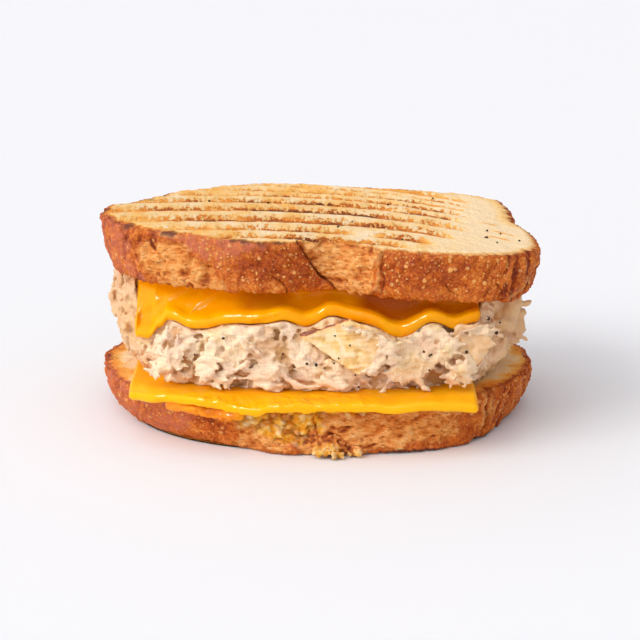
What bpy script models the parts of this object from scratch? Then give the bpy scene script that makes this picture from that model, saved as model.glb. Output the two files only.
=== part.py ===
"""A tuna melt: two grilled slices of a split-crown loaf around cheese, tuna salad and cheese.

The sandwich stands on the floor with the loaf's crown towards -Y and +Z up. Its heights follow
three surfaces: the flat top of the lower slice, lid_height(), which the upper slice rests on, and
top_height(), the tilted plane of the upper slice's grilled face. Touching pieces keep GAP apart.
"""

import math
import random

import bmesh
import bpy
from mathutils import Matrix, Vector, noise

# Driving dimensions, in metres.
SLICE_THICKNESS = 0.0134
LID_HEIGHT = 0.0434  # underside of the upper slice, at the middle of the sandwich
LID_ROLL = 0.045  # fall of that underside for each metre towards +X
LID_BOW = 0.42  # droop of its ends, in metres for each square metre of distance from the middle
TOP_HEIGHT = 0.0573  # grilled face of the upper slice, at the middle of the sandwich
TOP_ROLL = 0.065
TOP_BOW = 0.12
CHEESE_THICKNESS = 0.0025
GAP = 0.0003
SHARP_ANGLE = math.radians(40)

# The slices: reach to each side from the middle of the widest line, which lies at "widest", and
# the superellipse power of each quarter of the outline (back right, back left, front left, front
# right). The sides draw in behind "narrow_from", and the crown leans out by "lean" towards the
# slice's underside. The crust's lower edge is tucked in at the left and at the right: by how much,
# and between which distances from the middle the tuck grows to that.
UPPER_SLICE = {
    "right": 0.0608,
    "left": 0.0610,
    "front": 0.0275,
    "back": 0.0545,
    "widest": -0.0160,
    "powers": (8.0, 1.78, 2.1, 2.9),
    "narrow_from": -0.009,
    "neck_depth": 0.0035,
    "burst": (0.003, 0.012, 0.0065),
    "lean": 0.0,
    "tuck_left": (0.0050, 0.044, 0.058),
    "tuck_right": (0.0030, 0.050, 0.060),
    "torn": 0.0013,
    "seed": 3,
}
LOWER_SLICE = {
    "right": 0.0615,
    "left": 0.0635,
    "front": 0.0505,
    "back": 0.0395,
    "widest": 0.0020,
    "powers": (4.0, 3.4, 2.15, 2.2),
    "narrow_from": 0.006,
    "neck_depth": 0.0035,
    "burst": (0.004, 0.020, 0.0020),
    "lean": 0.0030,
    "tuck_left": (0.0065, 0.004, 0.030),
    "tuck_right": (0.0045, 0.040, 0.058),
    "torn": 0.0016,
    "seed": 8,
}
NECK_BEHIND = 0.012  # how far behind narrow_from the waist below the crown lies
NECK_WIDTH = 0.008
OUTLINE_STEPS = 88
CRUST_ROWS = 5
CRUST_CRAGS = 0.0007
LOAF_SPARE = 0.0025  # length of loaf beyond each cut
RIM_TUCK = 0.0006

# A torn tongue of crumb that hangs from the lower slice's crown.
TONGUE_X = 0.0050
TONGUE_HEIGHT = 0.0036
TONGUE_SIZE = (0.0064, 0.0040, 0.0031)

# The ridges that the grill pressed into the upper slice.
GRILL_RIDGES = 10
GRILL_PITCH = 0.0093
GRILL_DEPTH = 0.0011
GRILL_SHIFT = -0.0025
GRILL_WANDER = 0.0012
GRILL_FADE = (0.020, 0.042)  # the ridges fade out between these distances towards +X
RIDGE_ROWS = (0.0, 0.16, 0.55)  # crest, deepest and half way back up, as shares of the pitch

# The cheeses. A hem is a line of (distance along X, how far the edge hangs or reaches).
CHEESE_COLUMNS = 36
CHEESE_BEND = 0.0030
CUTTER_REACH = 0.020  # how far beyond the upper cheese the tuna is cleared away
UPPER_CHEESE_X = (-0.0505, 0.0435)
UPPER_CHEESE_BACK = 0.0365
UPPER_CHEESE_INSET = 0.0010
UPPER_HEM = (
    (-0.0505, 0.0130),
    (-0.0475, 0.0156),
    (-0.0415, 0.0080),
    (-0.0335, 0.0095),
    (-0.0240, 0.0072),
    (-0.0170, 0.0070),
    (-0.0090, 0.0057),
    (-0.0030, 0.0076),
    (0.0020, 0.0044),
    (0.0080, 0.0054),
    (0.0150, 0.0062),
    (0.0210, 0.0086),
    (0.0310, 0.0040),
    (0.0355, 0.0061),
    (0.0400, 0.0050),
    (0.0435, 0.0036),
)
LOWER_CHEESE_X = (-0.0525, 0.0425)
LOWER_CHEESE_BACK = 0.0375
LOWER_EDGE = (
    (-0.0525, 0.0375),
    (-0.0440, 0.0425),
    (-0.0300, 0.0475),
    (-0.0100, 0.0500),
    (0.0200, 0.0505),
    (0.0425, 0.0480),
)
LOWER_HEM = (
    (-0.0525, 0.0024),
    (-0.0400, 0.0010),
    (-0.0350, 0.0020),
    (-0.0285, 0.0046),
    (-0.0215, 0.0024),
    (-0.0165, 0.0032),
    (-0.0100, 0.0006),
    (0.0300, 0.0004),
    (0.0425, 0.0010),
)

# The tuna salad: a core, and the shreds and flakes that show on its sides.
TUNA_REACH = {"right": 0.0560, "left": 0.0555, "front": 0.0380, "back": 0.0345}
TUNA_POWER = 2.6
TUNA_STEPS = 64
TUNA_ROWS = 7
TUNA_BULGE = 0.0020
FRONT_SHARE = 0.4  # share of the shreds and flakes that are kept for the front half
TUNA_LUMPS = (0.0034, 0.0034)  # height of its wide and of its narrow lumps
SHRED_COUNT = 100
SHRED_LENGTH = (0.0070, 0.0135)
SHRED_RADIUS = (0.0012, 0.0022)
SHRED_SIDES = 4
SHRED_STANDING = 1.0  # how far its middle stands off the heap, in radii
FLAKE_COUNT = 22
FLAKE_SIZE = (0.0026, 0.0046)
FLAKE_STANDING = 0.3

# The two pale chunks at the front: corners of the shown face as (distance along X, height).
CHUNK_LEFT = (
    (-0.0058, 0.0333),
    (0.0070, 0.0377),
    (0.0160, 0.0345),
    (0.0186, 0.0290),
    (0.0108, 0.0215),
)
CHUNK_RIGHT = (
    (0.0332, 0.0262),
    (0.0370, 0.0348),
    (0.0425, 0.0348),
    (0.0490, 0.0290),
    (0.0400, 0.0215),
)
CHUNK_FACE = (-0.0442, -0.0412)  # how far forward the shown face of each lies
CHUNK_DEPTH = 0.0085
CHUNK_TAPER = 0.55
CHUNK_ROUNDING = 0.0009


def lerp(low, high, share):
    return low + (high - low) * share


def smoothstep(low, high, value):
    share = min(1.0, max(0.0, (value - low) / (high - low)))
    return share * share * (3 - 2 * share)


def bump(value, centre, half_width):
    return math.exp(-(((value - centre) / half_width) ** 2))


def along_line(line, x):
    """Smooth reading between the points of a hem or an edge."""
    for (x0, v0), (x1, v1) in zip(line, line[1:]):
        if x <= x1:
            return lerp(v0, v1, smoothstep(x0, x1, x))
    return line[-1][1]


def lid_height(x, y):
    """Height of the upper slice's underside. Its ends and its back left corner droop."""
    corner = max(0.0, -x - 0.02) * max(0.0, y)
    return LID_HEIGHT - LID_ROLL * x - LID_BOW * x * x - corner


def top_height(x):
    return TOP_HEIGHT - TOP_ROLL * x - TOP_BOW * x * x


def clear_scene():
    for obj in list(bpy.data.objects):
        bpy.data.objects.remove(obj, do_unlink=True)


def collection(name):
    made = bpy.data.collections.new(name)
    bpy.context.scene.collection.children.link(made)
    return made


def link_mesh(name, bm, into):
    """Turns a bmesh into an object of the collection."""
    mesh = bpy.data.meshes.new(name)
    bm.to_mesh(mesh)
    bm.free()
    obj = bpy.data.objects.new(name, mesh)
    into.objects.link(obj)
    return obj


def add_object(name, bm, into):
    """Turns a closed bmesh into an object with its faces pointing out."""
    bmesh.ops.recalc_face_normals(bm, faces=bm.faces)
    return link_mesh(name, bm, into)


def move_to(obj, into):
    for holder in list(obj.users_collection):
        holder.objects.unlink(obj)
    into.objects.link(obj)


def paint(obj, colour, roughness):
    """Gives a finished piece its own material and smooth shading."""
    obj.data.shade_smooth()
    obj.data.set_sharp_from_angle(angle=SHARP_ANGLE)
    made = bpy.data.materials.new(obj.name)
    made.use_nodes = True
    shader = made.node_tree.nodes["Principled BSDF"]
    shader.inputs["Base Color"].default_value = (*colour, 1.0)
    shader.inputs["Roughness"].default_value = roughness
    shader.inputs["Metallic"].default_value = 0.0
    obj.data.materials.clear()
    obj.data.materials.append(made)


def apply_modifiers(obj):
    """Replaces the object's mesh with what its modifiers make of it."""
    graph = bpy.context.evaluated_depsgraph_get()
    mesh = bpy.data.meshes.new_from_object(obj.evaluated_get(graph))
    obj.modifiers.clear()
    obj.data = mesh


def combine(obj, other, operation, solver="EXACT"):
    """Applies one Boolean of obj with an object or a whole collection, then removes the tools."""
    modifier = obj.modifiers.new(operation.title(), "BOOLEAN")
    modifier.operation = operation
    modifier.solver = solver
    tools = [other]
    if isinstance(other, bpy.types.Collection):
        modifier.operand_type = "COLLECTION"
        modifier.collection = other
        tools = list(other.objects)
    else:
        modifier.object = other
    apply_modifiers(obj)
    for tool in tools:
        bpy.data.objects.remove(tool, do_unlink=True)


def shells_of(bm):
    """The mesh's faces, grouped by what is joined to what."""
    unseen = set(bm.faces)
    shells = []
    while unseen:
        shell = [unseen.pop()]
        for face in shell:
            joined = {near for edge in face.edges for near in edge.link_faces} & unseen
            unseen -= joined
            shell.extend(joined)
        shells.append(shell)
    return shells


def keep_largest_shell(obj):
    """Drops loose scraps and the walls of sealed hollows, which leaves one solid."""
    bm = bmesh.new()
    bm.from_mesh(obj.data)
    shells = sorted(shells_of(bm), key=lambda shell: sum(face.calc_area() for face in shell))
    scraps = [face for shell in shells[:-1] for face in shell]
    bmesh.ops.delete(bm, geom=scraps, context="FACES")
    bm.to_mesh(obj.data)
    bm.free()


def drum(segments, rows):
    """A unit drum from z 0 to 1 with a closed top and bottom and the given rows of faces."""
    bm = bmesh.new()
    bmesh.ops.create_cone(bm, cap_ends=True, segments=segments, radius1=1, radius2=1, depth=1)
    bmesh.ops.translate(bm, verts=bm.verts, vec=(0, 0, 0.5))
    upright = [e for e in bm.edges if abs(e.verts[0].co.z - e.verts[1].co.z) > 0.5]
    bmesh.ops.subdivide_edges(bm, edges=upright, cuts=rows - 1)
    return bm


def slab(columns, rows):
    """A slab of unit sides with its middle at x 0 and y 0. Returns it and its upper corners."""
    bm = bmesh.new()
    bmesh.ops.create_grid(bm, x_segments=columns, y_segments=rows, size=0.5)
    made = bmesh.ops.extrude_face_region(bm, geom=bm.faces[:])
    upper = [item for item in made["geom"] if isinstance(item, bmesh.types.BMVert)]
    bmesh.ops.translate(bm, verts=upper, vec=(0, 0, 1))
    return bm, upper


# ---------------------------------------------------------------- the bread


def quarter_power(powers, x, y):
    if y >= 0:
        return powers[0] if x >= 0 else powers[1]
    return powers[3] if x >= 0 else powers[2]


def slice_point(slice_of, angle):
    """A point of a slice's outline: a boxy base at the back, and a round crown at the front."""
    c, s = math.cos(angle), math.sin(angle)
    power = 2 / quarter_power(slice_of["powers"], c, s)
    reach_x = slice_of["right"] if c >= 0 else slice_of["left"]
    reach_y = slice_of["back"] if s >= 0 else slice_of["front"]
    x = reach_x * math.copysign(abs(c) ** power, c)
    y = reach_y * math.copysign(abs(s) ** power, s) + slice_of["widest"]
    start = slice_of["narrow_from"]
    narrowing = smoothstep(start, start + 0.014, y) + 0.4 * bump(y, start + NECK_BEHIND, NECK_WIDTH)
    x -= math.copysign(narrowing * slice_of["neck_depth"], x) * smoothstep(0.0, 0.04, abs(x))
    at, width, dent = slice_of["burst"]
    if s < 0:
        y += dent * bump(x, at, width)
    return Vector((x, y))


def even_ring(point_at, count):
    """Points spaced evenly along a closed outline, which point_at(angle) draws."""
    dense = [point_at(2 * math.pi * i / 1440) for i in range(1440)]
    along = [0.0]
    for here, there in zip(dense, dense[1:] + dense[:1]):
        along.append(along[-1] + (there - here).length)
    ring, i = [], 0
    for k in range(count):
        target = along[-1] * k / count
        while along[i + 1] < target:
            i += 1
        share = (target - along[i]) / (along[i + 1] - along[i])
        ring.append(dense[i].lerp(dense[(i + 1) % len(dense)], share))
    return ring


def outward(ring, k):
    along = ring[(k + 1) % len(ring)] - ring[k - 1]
    return Vector((along.y, -along.x)).normalized()


def crust_relief(slice_of, x, y, z):
    """How far the crust stands out: waves and crags, and a torn band where the crown burst."""
    place = Vector((x, y, z)) + Vector((slice_of["seed"], 0, 0))
    waves = noise.noise(place * 60) * CRUST_CRAGS
    crags = noise.noise(place * 260) * CRUST_CRAGS
    at, width, _ = slice_of["burst"]
    torn = slice_of["torn"] * smoothstep(0.0, 0.02, -y) * bump(x, at, width * 1.1)
    return waves + crags + torn * noise.noise(place * 330)


def lower_edge_tuck(slice_of, x, share):
    """How far the crust is tucked in at x, at a share of the slice's height."""
    most, start, end = slice_of["tuck_right" if x >= 0 else "tuck_left"]
    return most * smoothstep(start, end, abs(x)) * max(0.0, 1 - share) ** 2


def loaf(slice_of, into):
    """A length of the loaf round its own axis, longer than the slice that is cut from it."""
    ring = even_ring(lambda angle: slice_point(slice_of, angle), OUTLINE_STEPS)
    bm = drum(OUTLINE_STEPS, CRUST_ROWS)
    for vert in bm.verts:
        angle = math.atan2(vert.co.y, vert.co.x) % (2 * math.pi)
        k = round(angle / (2 * math.pi) * OUTLINE_STEPS) % OUTLINE_STEPS
        z = lerp(-LOAF_SPARE, SLICE_THICKNESS + LOAF_SPARE, vert.co.z)
        share = z / SLICE_THICKNESS
        reach = crust_relief(slice_of, ring[k].x, ring[k].y, z) - RIM_TUCK * (2 * share - 1) ** 2
        reach -= lower_edge_tuck(slice_of, ring[k].x, share)
        side = ring[k] + outward(ring, k) * reach
        lean = slice_of["lean"] * (share - 0.5) * smoothstep(-0.005, 0.020, -side.y)
        vert.co = (side.x, side.y + lean, z)
    return add_object("loaf", bm, into)


def ridge_depth(x, step):
    """Depth of the grill's grooves at each step of a ridge. They fade towards the right."""
    if step == 0:
        return 0.0
    half_way = 0.5 if step == 2 else 1.0
    return GRILL_DEPTH * half_way * (1 - smoothstep(*GRILL_FADE, x))


def grilled_slab(into):
    """The space between the two cuts of the upper slice, whose top is ridged by the grill."""
    columns, steps = 8, len(RIDGE_ROWS)
    rows = GRILL_RIDGES * steps
    bm, upper = slab(columns, rows)
    upper = set(upper)
    for vert in bm.verts:
        row = round((vert.co.y + 0.5) * rows)
        ridge, step = divmod(row, steps)
        x = vert.co.x * 0.132
        wander = noise.noise(Vector((x * 40, ridge, 0))) * GRILL_WANDER
        y = (ridge + RIDGE_ROWS[step] - GRILL_RIDGES / 2) * GRILL_PITCH + GRILL_SHIFT + wander
        z = SLICE_THICKNESS - ridge_depth(x, step) if vert in upper else 0
        vert.co = (x, y, z)
    return add_object("grilled_slab", bm, into)


def plain_slab(into):
    """The space between the two flat cuts of the lower slice."""
    bm, _ = slab(1, 1)
    bmesh.ops.scale(bm, verts=bm.verts, vec=(0.14, 0.12, SLICE_THICKNESS))
    return add_object("plain_slab", bm, into)


def add_tongue(bread, into):
    """Fuses the torn tongue of crumb onto the lower slice, above the floor."""
    rng = random.Random(5)
    place = Vector((TONGUE_X, LOWER_SLICE["widest"] - LOWER_SLICE["front"], TONGUE_HEIGHT))
    bm = bmesh.new()
    bmesh.ops.create_icosphere(bm, subdivisions=2, radius=1)
    for vert in bm.verts:
        vert.co = place + vert.co * Vector(TONGUE_SIZE) * rng.uniform(0.8, 1.15)
    combine(bread, add_object("tongue", bm, into), "UNION")


def cut_slice(name, slice_of, cuts, parts, tools):
    """One slice of the loaf: what the loaf and the space between its two cuts share."""
    bread = loaf(slice_of, tools)
    combine(bread, cuts, "INTERSECT")
    move_to(bread, parts)
    bread.name = name
    return bread


def make_upper_slice(parts, tools):
    bread = cut_slice("bread_upper", UPPER_SLICE, grilled_slab(tools), parts, tools)
    for vert in bread.data.vertices:
        under = lid_height(vert.co.x, vert.co.y)
        vert.co.z = lerp(under, top_height(vert.co.x), vert.co.z / SLICE_THICKNESS)
    return bread


def make_lower_slice(parts, tools):
    bread = cut_slice("bread_lower", LOWER_SLICE, plain_slab(tools), parts, tools)
    add_tongue(bread, tools)
    return bread


# ---------------------------------------------------------------- the cheese


def upper_cheese_front(x):
    """How far forward the upper cheese hangs at x. It follows the crown, and half of its burst."""
    side = UPPER_SLICE["right"] if x >= 0 else UPPER_SLICE["left"]
    power = UPPER_SLICE["powers"][3 if x >= 0 else 2]
    reach = UPPER_SLICE["front"] * (1 - (abs(x) / side) ** power) ** (1 / power)
    at, width, dent = UPPER_SLICE["burst"]
    return UPPER_SLICE["widest"] - reach + dent / 2 * bump(x, at, width) + UPPER_CHEESE_INSET


def upper_cheese_profile(x, extra):
    """Middle line of the upper cheese at x, from its back edge to its hanging hem."""
    half = CHEESE_THICKNESS / 2
    front = upper_cheese_front(x)
    bend = front + CHEESE_BEND + half
    line = []
    for share in (0.0, 0.35, 0.7, 1.0):
        y = lerp(UPPER_CHEESE_BACK + extra, bend, share)
        line.append(Vector((y, lid_height(x, y) - GAP - half)))
    middle = Vector((bend, line[-1].y - CHEESE_BEND))
    for turn in (math.radians(35), math.radians(70)):
        line.append(middle + CHEESE_BEND * Vector((-math.sin(turn), math.cos(turn))))
    drop = along_line(UPPER_HEM, x) + extra
    hang = max(drop - half - CHEESE_BEND, 0.0008)
    for share in (0.45, 1.0):
        line.append(Vector((front + half, middle.y - hang * share)))
    return line


def lower_cheese_profile(x, extra):
    """Middle line of the lower cheese at x, from its back edge to its drooping front edge."""
    height = SLICE_THICKNESS + GAP + CHEESE_THICKNESS / 2
    edge = -along_line(LOWER_EDGE, x)
    drop = along_line(LOWER_HEM, x) + extra
    line = []
    for share in (0.0, 0.4, 0.8):
        y = lerp(LOWER_CHEESE_BACK + extra, edge + CHEESE_BEND, share)
        line.append(Vector((y, height)))
    for share in (0.0, 0.4, 0.75, 1.0):
        line.append(Vector((edge + CHEESE_BEND * (1 - share), height - drop * share * share)))
    return line


def sheet(name, profile, x_span, into, extra=0.0, beyond=0.0):
    """A sheet of cheese whose middle follows the lines that profile(x, extra) draws.

    A cutter has extra on every side, and reaches beyond the sheet on its upper side.
    """
    rows = len(profile(x_span[0], extra)) - 1
    bm = bmesh.new()
    bmesh.ops.create_grid(bm, x_segments=CHEESE_COLUMNS, y_segments=rows, size=0.5)
    lines = {}
    for vert in bm.verts:
        column = round((vert.co.x + 0.5) * CHEESE_COLUMNS)
        x = lerp(x_span[0] - extra, x_span[1] + extra, column / CHEESE_COLUMNS)
        if column not in lines:
            lines[column] = profile(x, extra)
        point = lines[column][round((0.5 - vert.co.y) * rows)]
        vert.co = (x, point.x, point.y)
    obj = link_mesh(name, bm, into)
    solidify = obj.modifiers.new("Thickness", "SOLIDIFY")
    over = CHEESE_THICKNESS / 2 + extra + beyond
    solidify.thickness = CHEESE_THICKNESS + 2 * extra + beyond
    solidify.offset = 2 * over / solidify.thickness - 1
    return obj


def upper_cheese(name, into, **room):
    return sheet(name, upper_cheese_profile, UPPER_CHEESE_X, into, **room)


def lower_cheese(name, into, **room):
    return sheet(name, lower_cheese_profile, LOWER_CHEESE_X, into, **room)


# ---------------------------------------------------------------- the chunks and the tuna


def chunk(name, corners, face, extra, into):
    """A wedge whose shown face has the given corners and whose back is smaller."""
    middle = sum((Vector(corner) for corner in corners), Vector((0, 0))) / len(corners)
    bm = bmesh.new()
    for corner in corners:
        for y, taper in ((face, 1.0), (face + CHUNK_DEPTH, CHUNK_TAPER)):
            place = middle + (Vector(corner) - middle) * taper
            bm.verts.new((place.x, y, place.y))
    bmesh.ops.convex_hull(bm, input=bm.verts[:])
    bmesh.ops.dissolve_limit(bm, angle_limit=0.05, verts=bm.verts[:], edges=bm.edges[:])
    edges = bm.edges[:]
    bmesh.ops.bevel(bm, geom=edges, offset=CHUNK_ROUNDING, segments=2, affect="EDGES", profile=0.5)
    bmesh.ops.recalc_face_normals(bm, faces=bm.faces)
    if extra:
        bm.normal_update()
        for vert in bm.verts:
            vert.co += vert.normal * extra
    return add_object(name, bm, into)


def tuna_point(angle):
    c, s = math.cos(angle), math.sin(angle)
    power = 2 / TUNA_POWER
    reach_x = TUNA_REACH["right"] if c >= 0 else TUNA_REACH["left"]
    reach_y = TUNA_REACH["back"] if s >= 0 else TUNA_REACH["front"]
    x = reach_x * math.copysign(abs(c) ** power, c)
    return Vector((x, reach_y * math.copysign(abs(s) ** power, s)))


def tuna_core(into):
    """The heap that the shreds stick to. It is taller than the space left for it."""
    ring = even_ring(tuna_point, TUNA_STEPS)
    bm = drum(TUNA_STEPS, TUNA_ROWS)
    for vert in bm.verts:
        angle = math.atan2(vert.co.y, vert.co.x) % (2 * math.pi)
        k = round(angle / (2 * math.pi) * TUNA_STEPS) % TUNA_STEPS
        share = vert.co.z
        z = lerp(SLICE_THICKNESS - 0.002, LID_HEIGHT + 0.004, share)
        place = Vector((ring[k].x, ring[k].y, z))
        lumps = noise.noise(place * 110) * TUNA_LUMPS[0] + noise.noise(place * 290) * TUNA_LUMPS[1]
        side = ring[k] + outward(ring, k) * (lumps + TUNA_BULGE * math.sin(math.pi * share))
        vert.co = (side.x, side.y, z)
    return add_object("tuna", bm, into)


def on_tuna_side(rng, ring):
    """A random place on the heap's side, with the direction out of it."""
    first = len(ring) // 2 if rng.random() < FRONT_SHARE else 0
    k = rng.randrange(first, len(ring))
    x, y = ring[k].lerp(ring[(k + 1) % len(ring)], rng.random())
    low = SLICE_THICKNESS + 0.002
    z = rng.uniform(low, lid_height(x, y) - 0.002)
    share = (z - low) / (lid_height(x, y) - low)
    out = outward(ring, k).to_3d()
    return Vector((x, y, z)) + out * TUNA_BULGE * math.sin(math.pi * share), out


def shred(rng, place, out, into):
    """A tapering, bent strip of flesh that lies on the heap with its tip standing off."""
    length = rng.uniform(*SHRED_LENGTH)
    radius = rng.uniform(*SHRED_RADIUS)
    bm = drum(SHRED_SIDES, 2)
    curl = rng.uniform(-0.25, 0.25) * length
    for vert in bm.verts:
        share = vert.co.z
        taper = lerp(1.0, 0.45, share)
        vert.co.x = vert.co.x * radius * taper + curl * math.sin(math.pi * share)
        vert.co.y *= radius * taper * rng.uniform(0.55, 0.85)
        vert.co.z = (share - 0.5) * length
    turn = rng.uniform(0, 2 * math.pi)
    along = Vector((0, 0, 1)).cross(out) * math.cos(turn) + Vector((0, 0, 0.8)) * math.sin(turn)
    along += out * rng.uniform(0.1, 0.55)
    pose = along.to_track_quat("Z", "Y").to_matrix().to_4x4()
    where = Matrix.Translation(place + out * radius * SHRED_STANDING)
    bmesh.ops.transform(bm, matrix=where @ pose, verts=bm.verts)
    add_object("shred", bm, into)


def flake(rng, place, out, into):
    """A chunky flake of flesh, half sunk in the heap."""
    size = rng.uniform(*FLAKE_SIZE)
    bm = bmesh.new()
    bmesh.ops.create_icosphere(bm, subdivisions=1, radius=size)
    squash = Vector((rng.uniform(0.6, 1.0), rng.uniform(0.6, 1.0), rng.uniform(0.45, 0.8)))
    for vert in bm.verts:
        vert.co = vert.co * squash * rng.uniform(0.8, 1.2)
    axis = Vector((rng.random(), rng.random(), 1))
    pose = Matrix.Rotation(rng.uniform(0, 2 * math.pi), 4, axis)
    where = Matrix.Translation(place + out * size * FLAKE_STANDING)
    bmesh.ops.transform(bm, matrix=where @ pose, verts=bm.verts)
    add_object("flake", bm, into)


def filling_space(into):
    """The space between the two slices, less the gaps to them."""
    bm, upper = slab(16, 10)
    upper = set(upper)
    for vert in bm.verts:
        x, y = vert.co.x * 0.15, vert.co.y * 0.13
        z = lid_height(x, y) - GAP if vert in upper else SLICE_THICKNESS + GAP
        vert.co = (x, y, z)
    return add_object("filling_space", bm, into)


def make_tuna(parts, tools):
    """The heap with its shreds and flakes, cut clear of everything that it touches."""
    rng = random.Random(11)
    bits = collection("bits")
    tuna = tuna_core(tools)
    ring = even_ring(tuna_point, TUNA_STEPS)
    for _ in range(SHRED_COUNT):
        shred(rng, *on_tuna_side(rng, ring), bits)
    for _ in range(FLAKE_COUNT):
        flake(rng, *on_tuna_side(rng, ring), bits)
    combine(tuna, bits, "UNION", "MANIFOLD")
    combine(tuna, filling_space(tools), "INTERSECT", "MANIFOLD")
    combine(tuna, upper_cheese("cutter", tools, extra=GAP, beyond=CUTTER_REACH), "DIFFERENCE", "MANIFOLD")
    combine(tuna, lower_cheese("cutter", tools, extra=GAP), "DIFFERENCE", "MANIFOLD")
    for corners, face in zip((CHUNK_LEFT, CHUNK_RIGHT), CHUNK_FACE):
        combine(tuna, chunk("cutter", corners, face, GAP, tools), "DIFFERENCE", "MANIFOLD")
    keep_largest_shell(tuna)
    move_to(tuna, parts)
    return tuna


def centre_on_floor(parts):
    """Moves the whole sandwich so that its box is centred over the origin and stands at z 0."""
    corners = [vert.co for obj in parts.objects for vert in obj.data.vertices]
    low = Vector([min(corner[axis] for corner in corners) for axis in range(3)])
    high = Vector([max(corner[axis] for corner in corners) for axis in range(3)])
    shift = Vector(((low.x + high.x) / 2, (low.y + high.y) / 2, low.z))
    for obj in parts.objects:
        obj.data.transform(Matrix.Translation(-shift))


def main():
    clear_scene()
    parts = collection("tuna_melt")
    tools = collection("tools")
    for bread in (make_upper_slice(parts, tools), make_lower_slice(parts, tools)):
        paint(bread, (0.62, 0.30, 0.12), 0.6)
    for cheese in (upper_cheese("cheese_upper", parts), lower_cheese("cheese_lower", parts)):
        paint(cheese, (0.95, 0.42, 0.02), 0.25)
    paint(chunk("chunk_left", CHUNK_LEFT, CHUNK_FACE[0], 0, parts), (0.86, 0.72, 0.42), 0.4)
    paint(chunk("chunk_right", CHUNK_RIGHT, CHUNK_FACE[1], 0, parts), (0.80, 0.66, 0.42), 0.4)
    paint(make_tuna(parts, tools), (0.78, 0.62, 0.46), 0.45)
    centre_on_floor(parts)


main()
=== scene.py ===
"""The looks of the tuna melt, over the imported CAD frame.

Shapes are worked out in millimetres in the sandwich's own frame, where x 0 is the middle of the
loaf's crown, the crown points towards -y and z 0 is the floor. place() takes them to the frame.
"""

import itertools

import bmesh
import bpy
import numpy as np
from mathutils import Matrix, Vector
from mathutils.bvhtree import BVHTree


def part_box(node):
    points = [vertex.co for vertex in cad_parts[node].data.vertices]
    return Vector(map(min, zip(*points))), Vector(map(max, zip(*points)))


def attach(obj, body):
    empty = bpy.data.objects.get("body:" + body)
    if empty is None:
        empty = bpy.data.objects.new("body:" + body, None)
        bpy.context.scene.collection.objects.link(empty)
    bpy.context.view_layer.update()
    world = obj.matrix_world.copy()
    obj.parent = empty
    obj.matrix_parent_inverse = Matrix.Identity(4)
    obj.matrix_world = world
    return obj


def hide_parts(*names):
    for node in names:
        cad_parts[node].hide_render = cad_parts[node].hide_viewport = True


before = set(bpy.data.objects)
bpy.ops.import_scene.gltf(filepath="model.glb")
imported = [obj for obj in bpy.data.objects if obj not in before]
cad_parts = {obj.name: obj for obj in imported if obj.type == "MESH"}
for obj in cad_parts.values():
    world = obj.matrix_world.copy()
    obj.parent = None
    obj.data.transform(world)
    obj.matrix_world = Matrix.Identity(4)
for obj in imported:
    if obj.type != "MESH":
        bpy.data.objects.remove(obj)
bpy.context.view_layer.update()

# Dimensions of the source, in millimetres.
THICK = 13.4  # a slice of bread
SHEET = 2.5  # a slice of cheese
GAP = 0.3  # between two layers
UPPER = {
    "right": 60.8,
    "left": 61.0,
    "front": 27.5,
    "back": 54.5,
    "widest": -16.0,
    "powers": (8.0, 1.78, 2.1, 2.9),
    "narrow_from": -9.0,
    "neck": 3.5,
    "burst": (3.0, 12.0, 6.5),
    "lean": 0.0,
    "tuck_left": (3.8, 46, 60),
    "tuck_right": (3.0, 50, 60),
}
LOWER = {
    "right": 61.5,
    "left": 63.5,
    "front": 50.5,
    "back": 39.5,
    "widest": 2.0,
    "powers": (4.0, 3.4, 2.15, 2.2),
    "narrow_from": 6.0,
    "neck": 3.5,
    "burst": (4.0, 20.0, 2.0),
    "lean": 3.0,
    "tuck_left": (6.5, 4, 30),
    "tuck_right": (4.5, 40, 58),
}
UPPER_CHEESE_X = (-50.5, 43.5)
UPPER_CHEESE_BACK = 36.5
LOWER_CHEESE_X = (-52.5, 42.5)
LOWER_CHEESE_BACK = 37.5

# How finely each slice is meshed: half the steps across its upper face, rows of points down its
# side, and the rings of its underside as (reach, first gap, growth, widest gap).
UPPER_MESH = (112, 34, (58, 0.6, 1.2, 3.0))
LOWER_MESH = (84, 36, (58, 0.5, 1.15, 2.0))
OUTLINE_LENGTH = 370

# ---------------------------------------------------------------- numbers and noise


def smooth(low, high, value):
    share = np.clip((value - low) / (high - low), 0, 1)
    return share * share * (3 - 2 * share)


def lerp(low, high, share):
    return low + (high - low) * share


def bump(value, centre, width):
    return np.exp(-(((value - centre) / width) ** 2))


def unit_length(vectors):
    return vectors / np.linalg.norm(vectors, axis=-1, keepdims=True)


def spread(x, y=0.0, z=0.0):
    """Points from their coordinates, any of which may be one number for all."""
    return np.column_stack(np.broadcast_arrays(x, y, z))


def hashed(cell, seed):
    """A random number from 0 to 1 for each row of whole numbers."""
    c = cell.astype(np.int64).astype(np.uint32)
    n = c[:, 0] * np.uint32(0x9E3779B1) ^ c[:, 1] * np.uint32(0x85EBCA77)
    n ^= c[:, 2] * np.uint32(0xC2B2AE3D) ^ np.uint32((seed * 0x27D4EB2F) & 0xFFFFFFFF)
    for shift, factor in ((15, 0x2C1B3C6D), (12, 0x297A2D39), (15, 1)):
        n ^= n >> np.uint32(shift)
        n *= np.uint32(factor)
    return n / 2.0**32


TURN = np.array(Matrix.Rotation(0.9, 3, Vector((1, 2, 3))))


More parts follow.
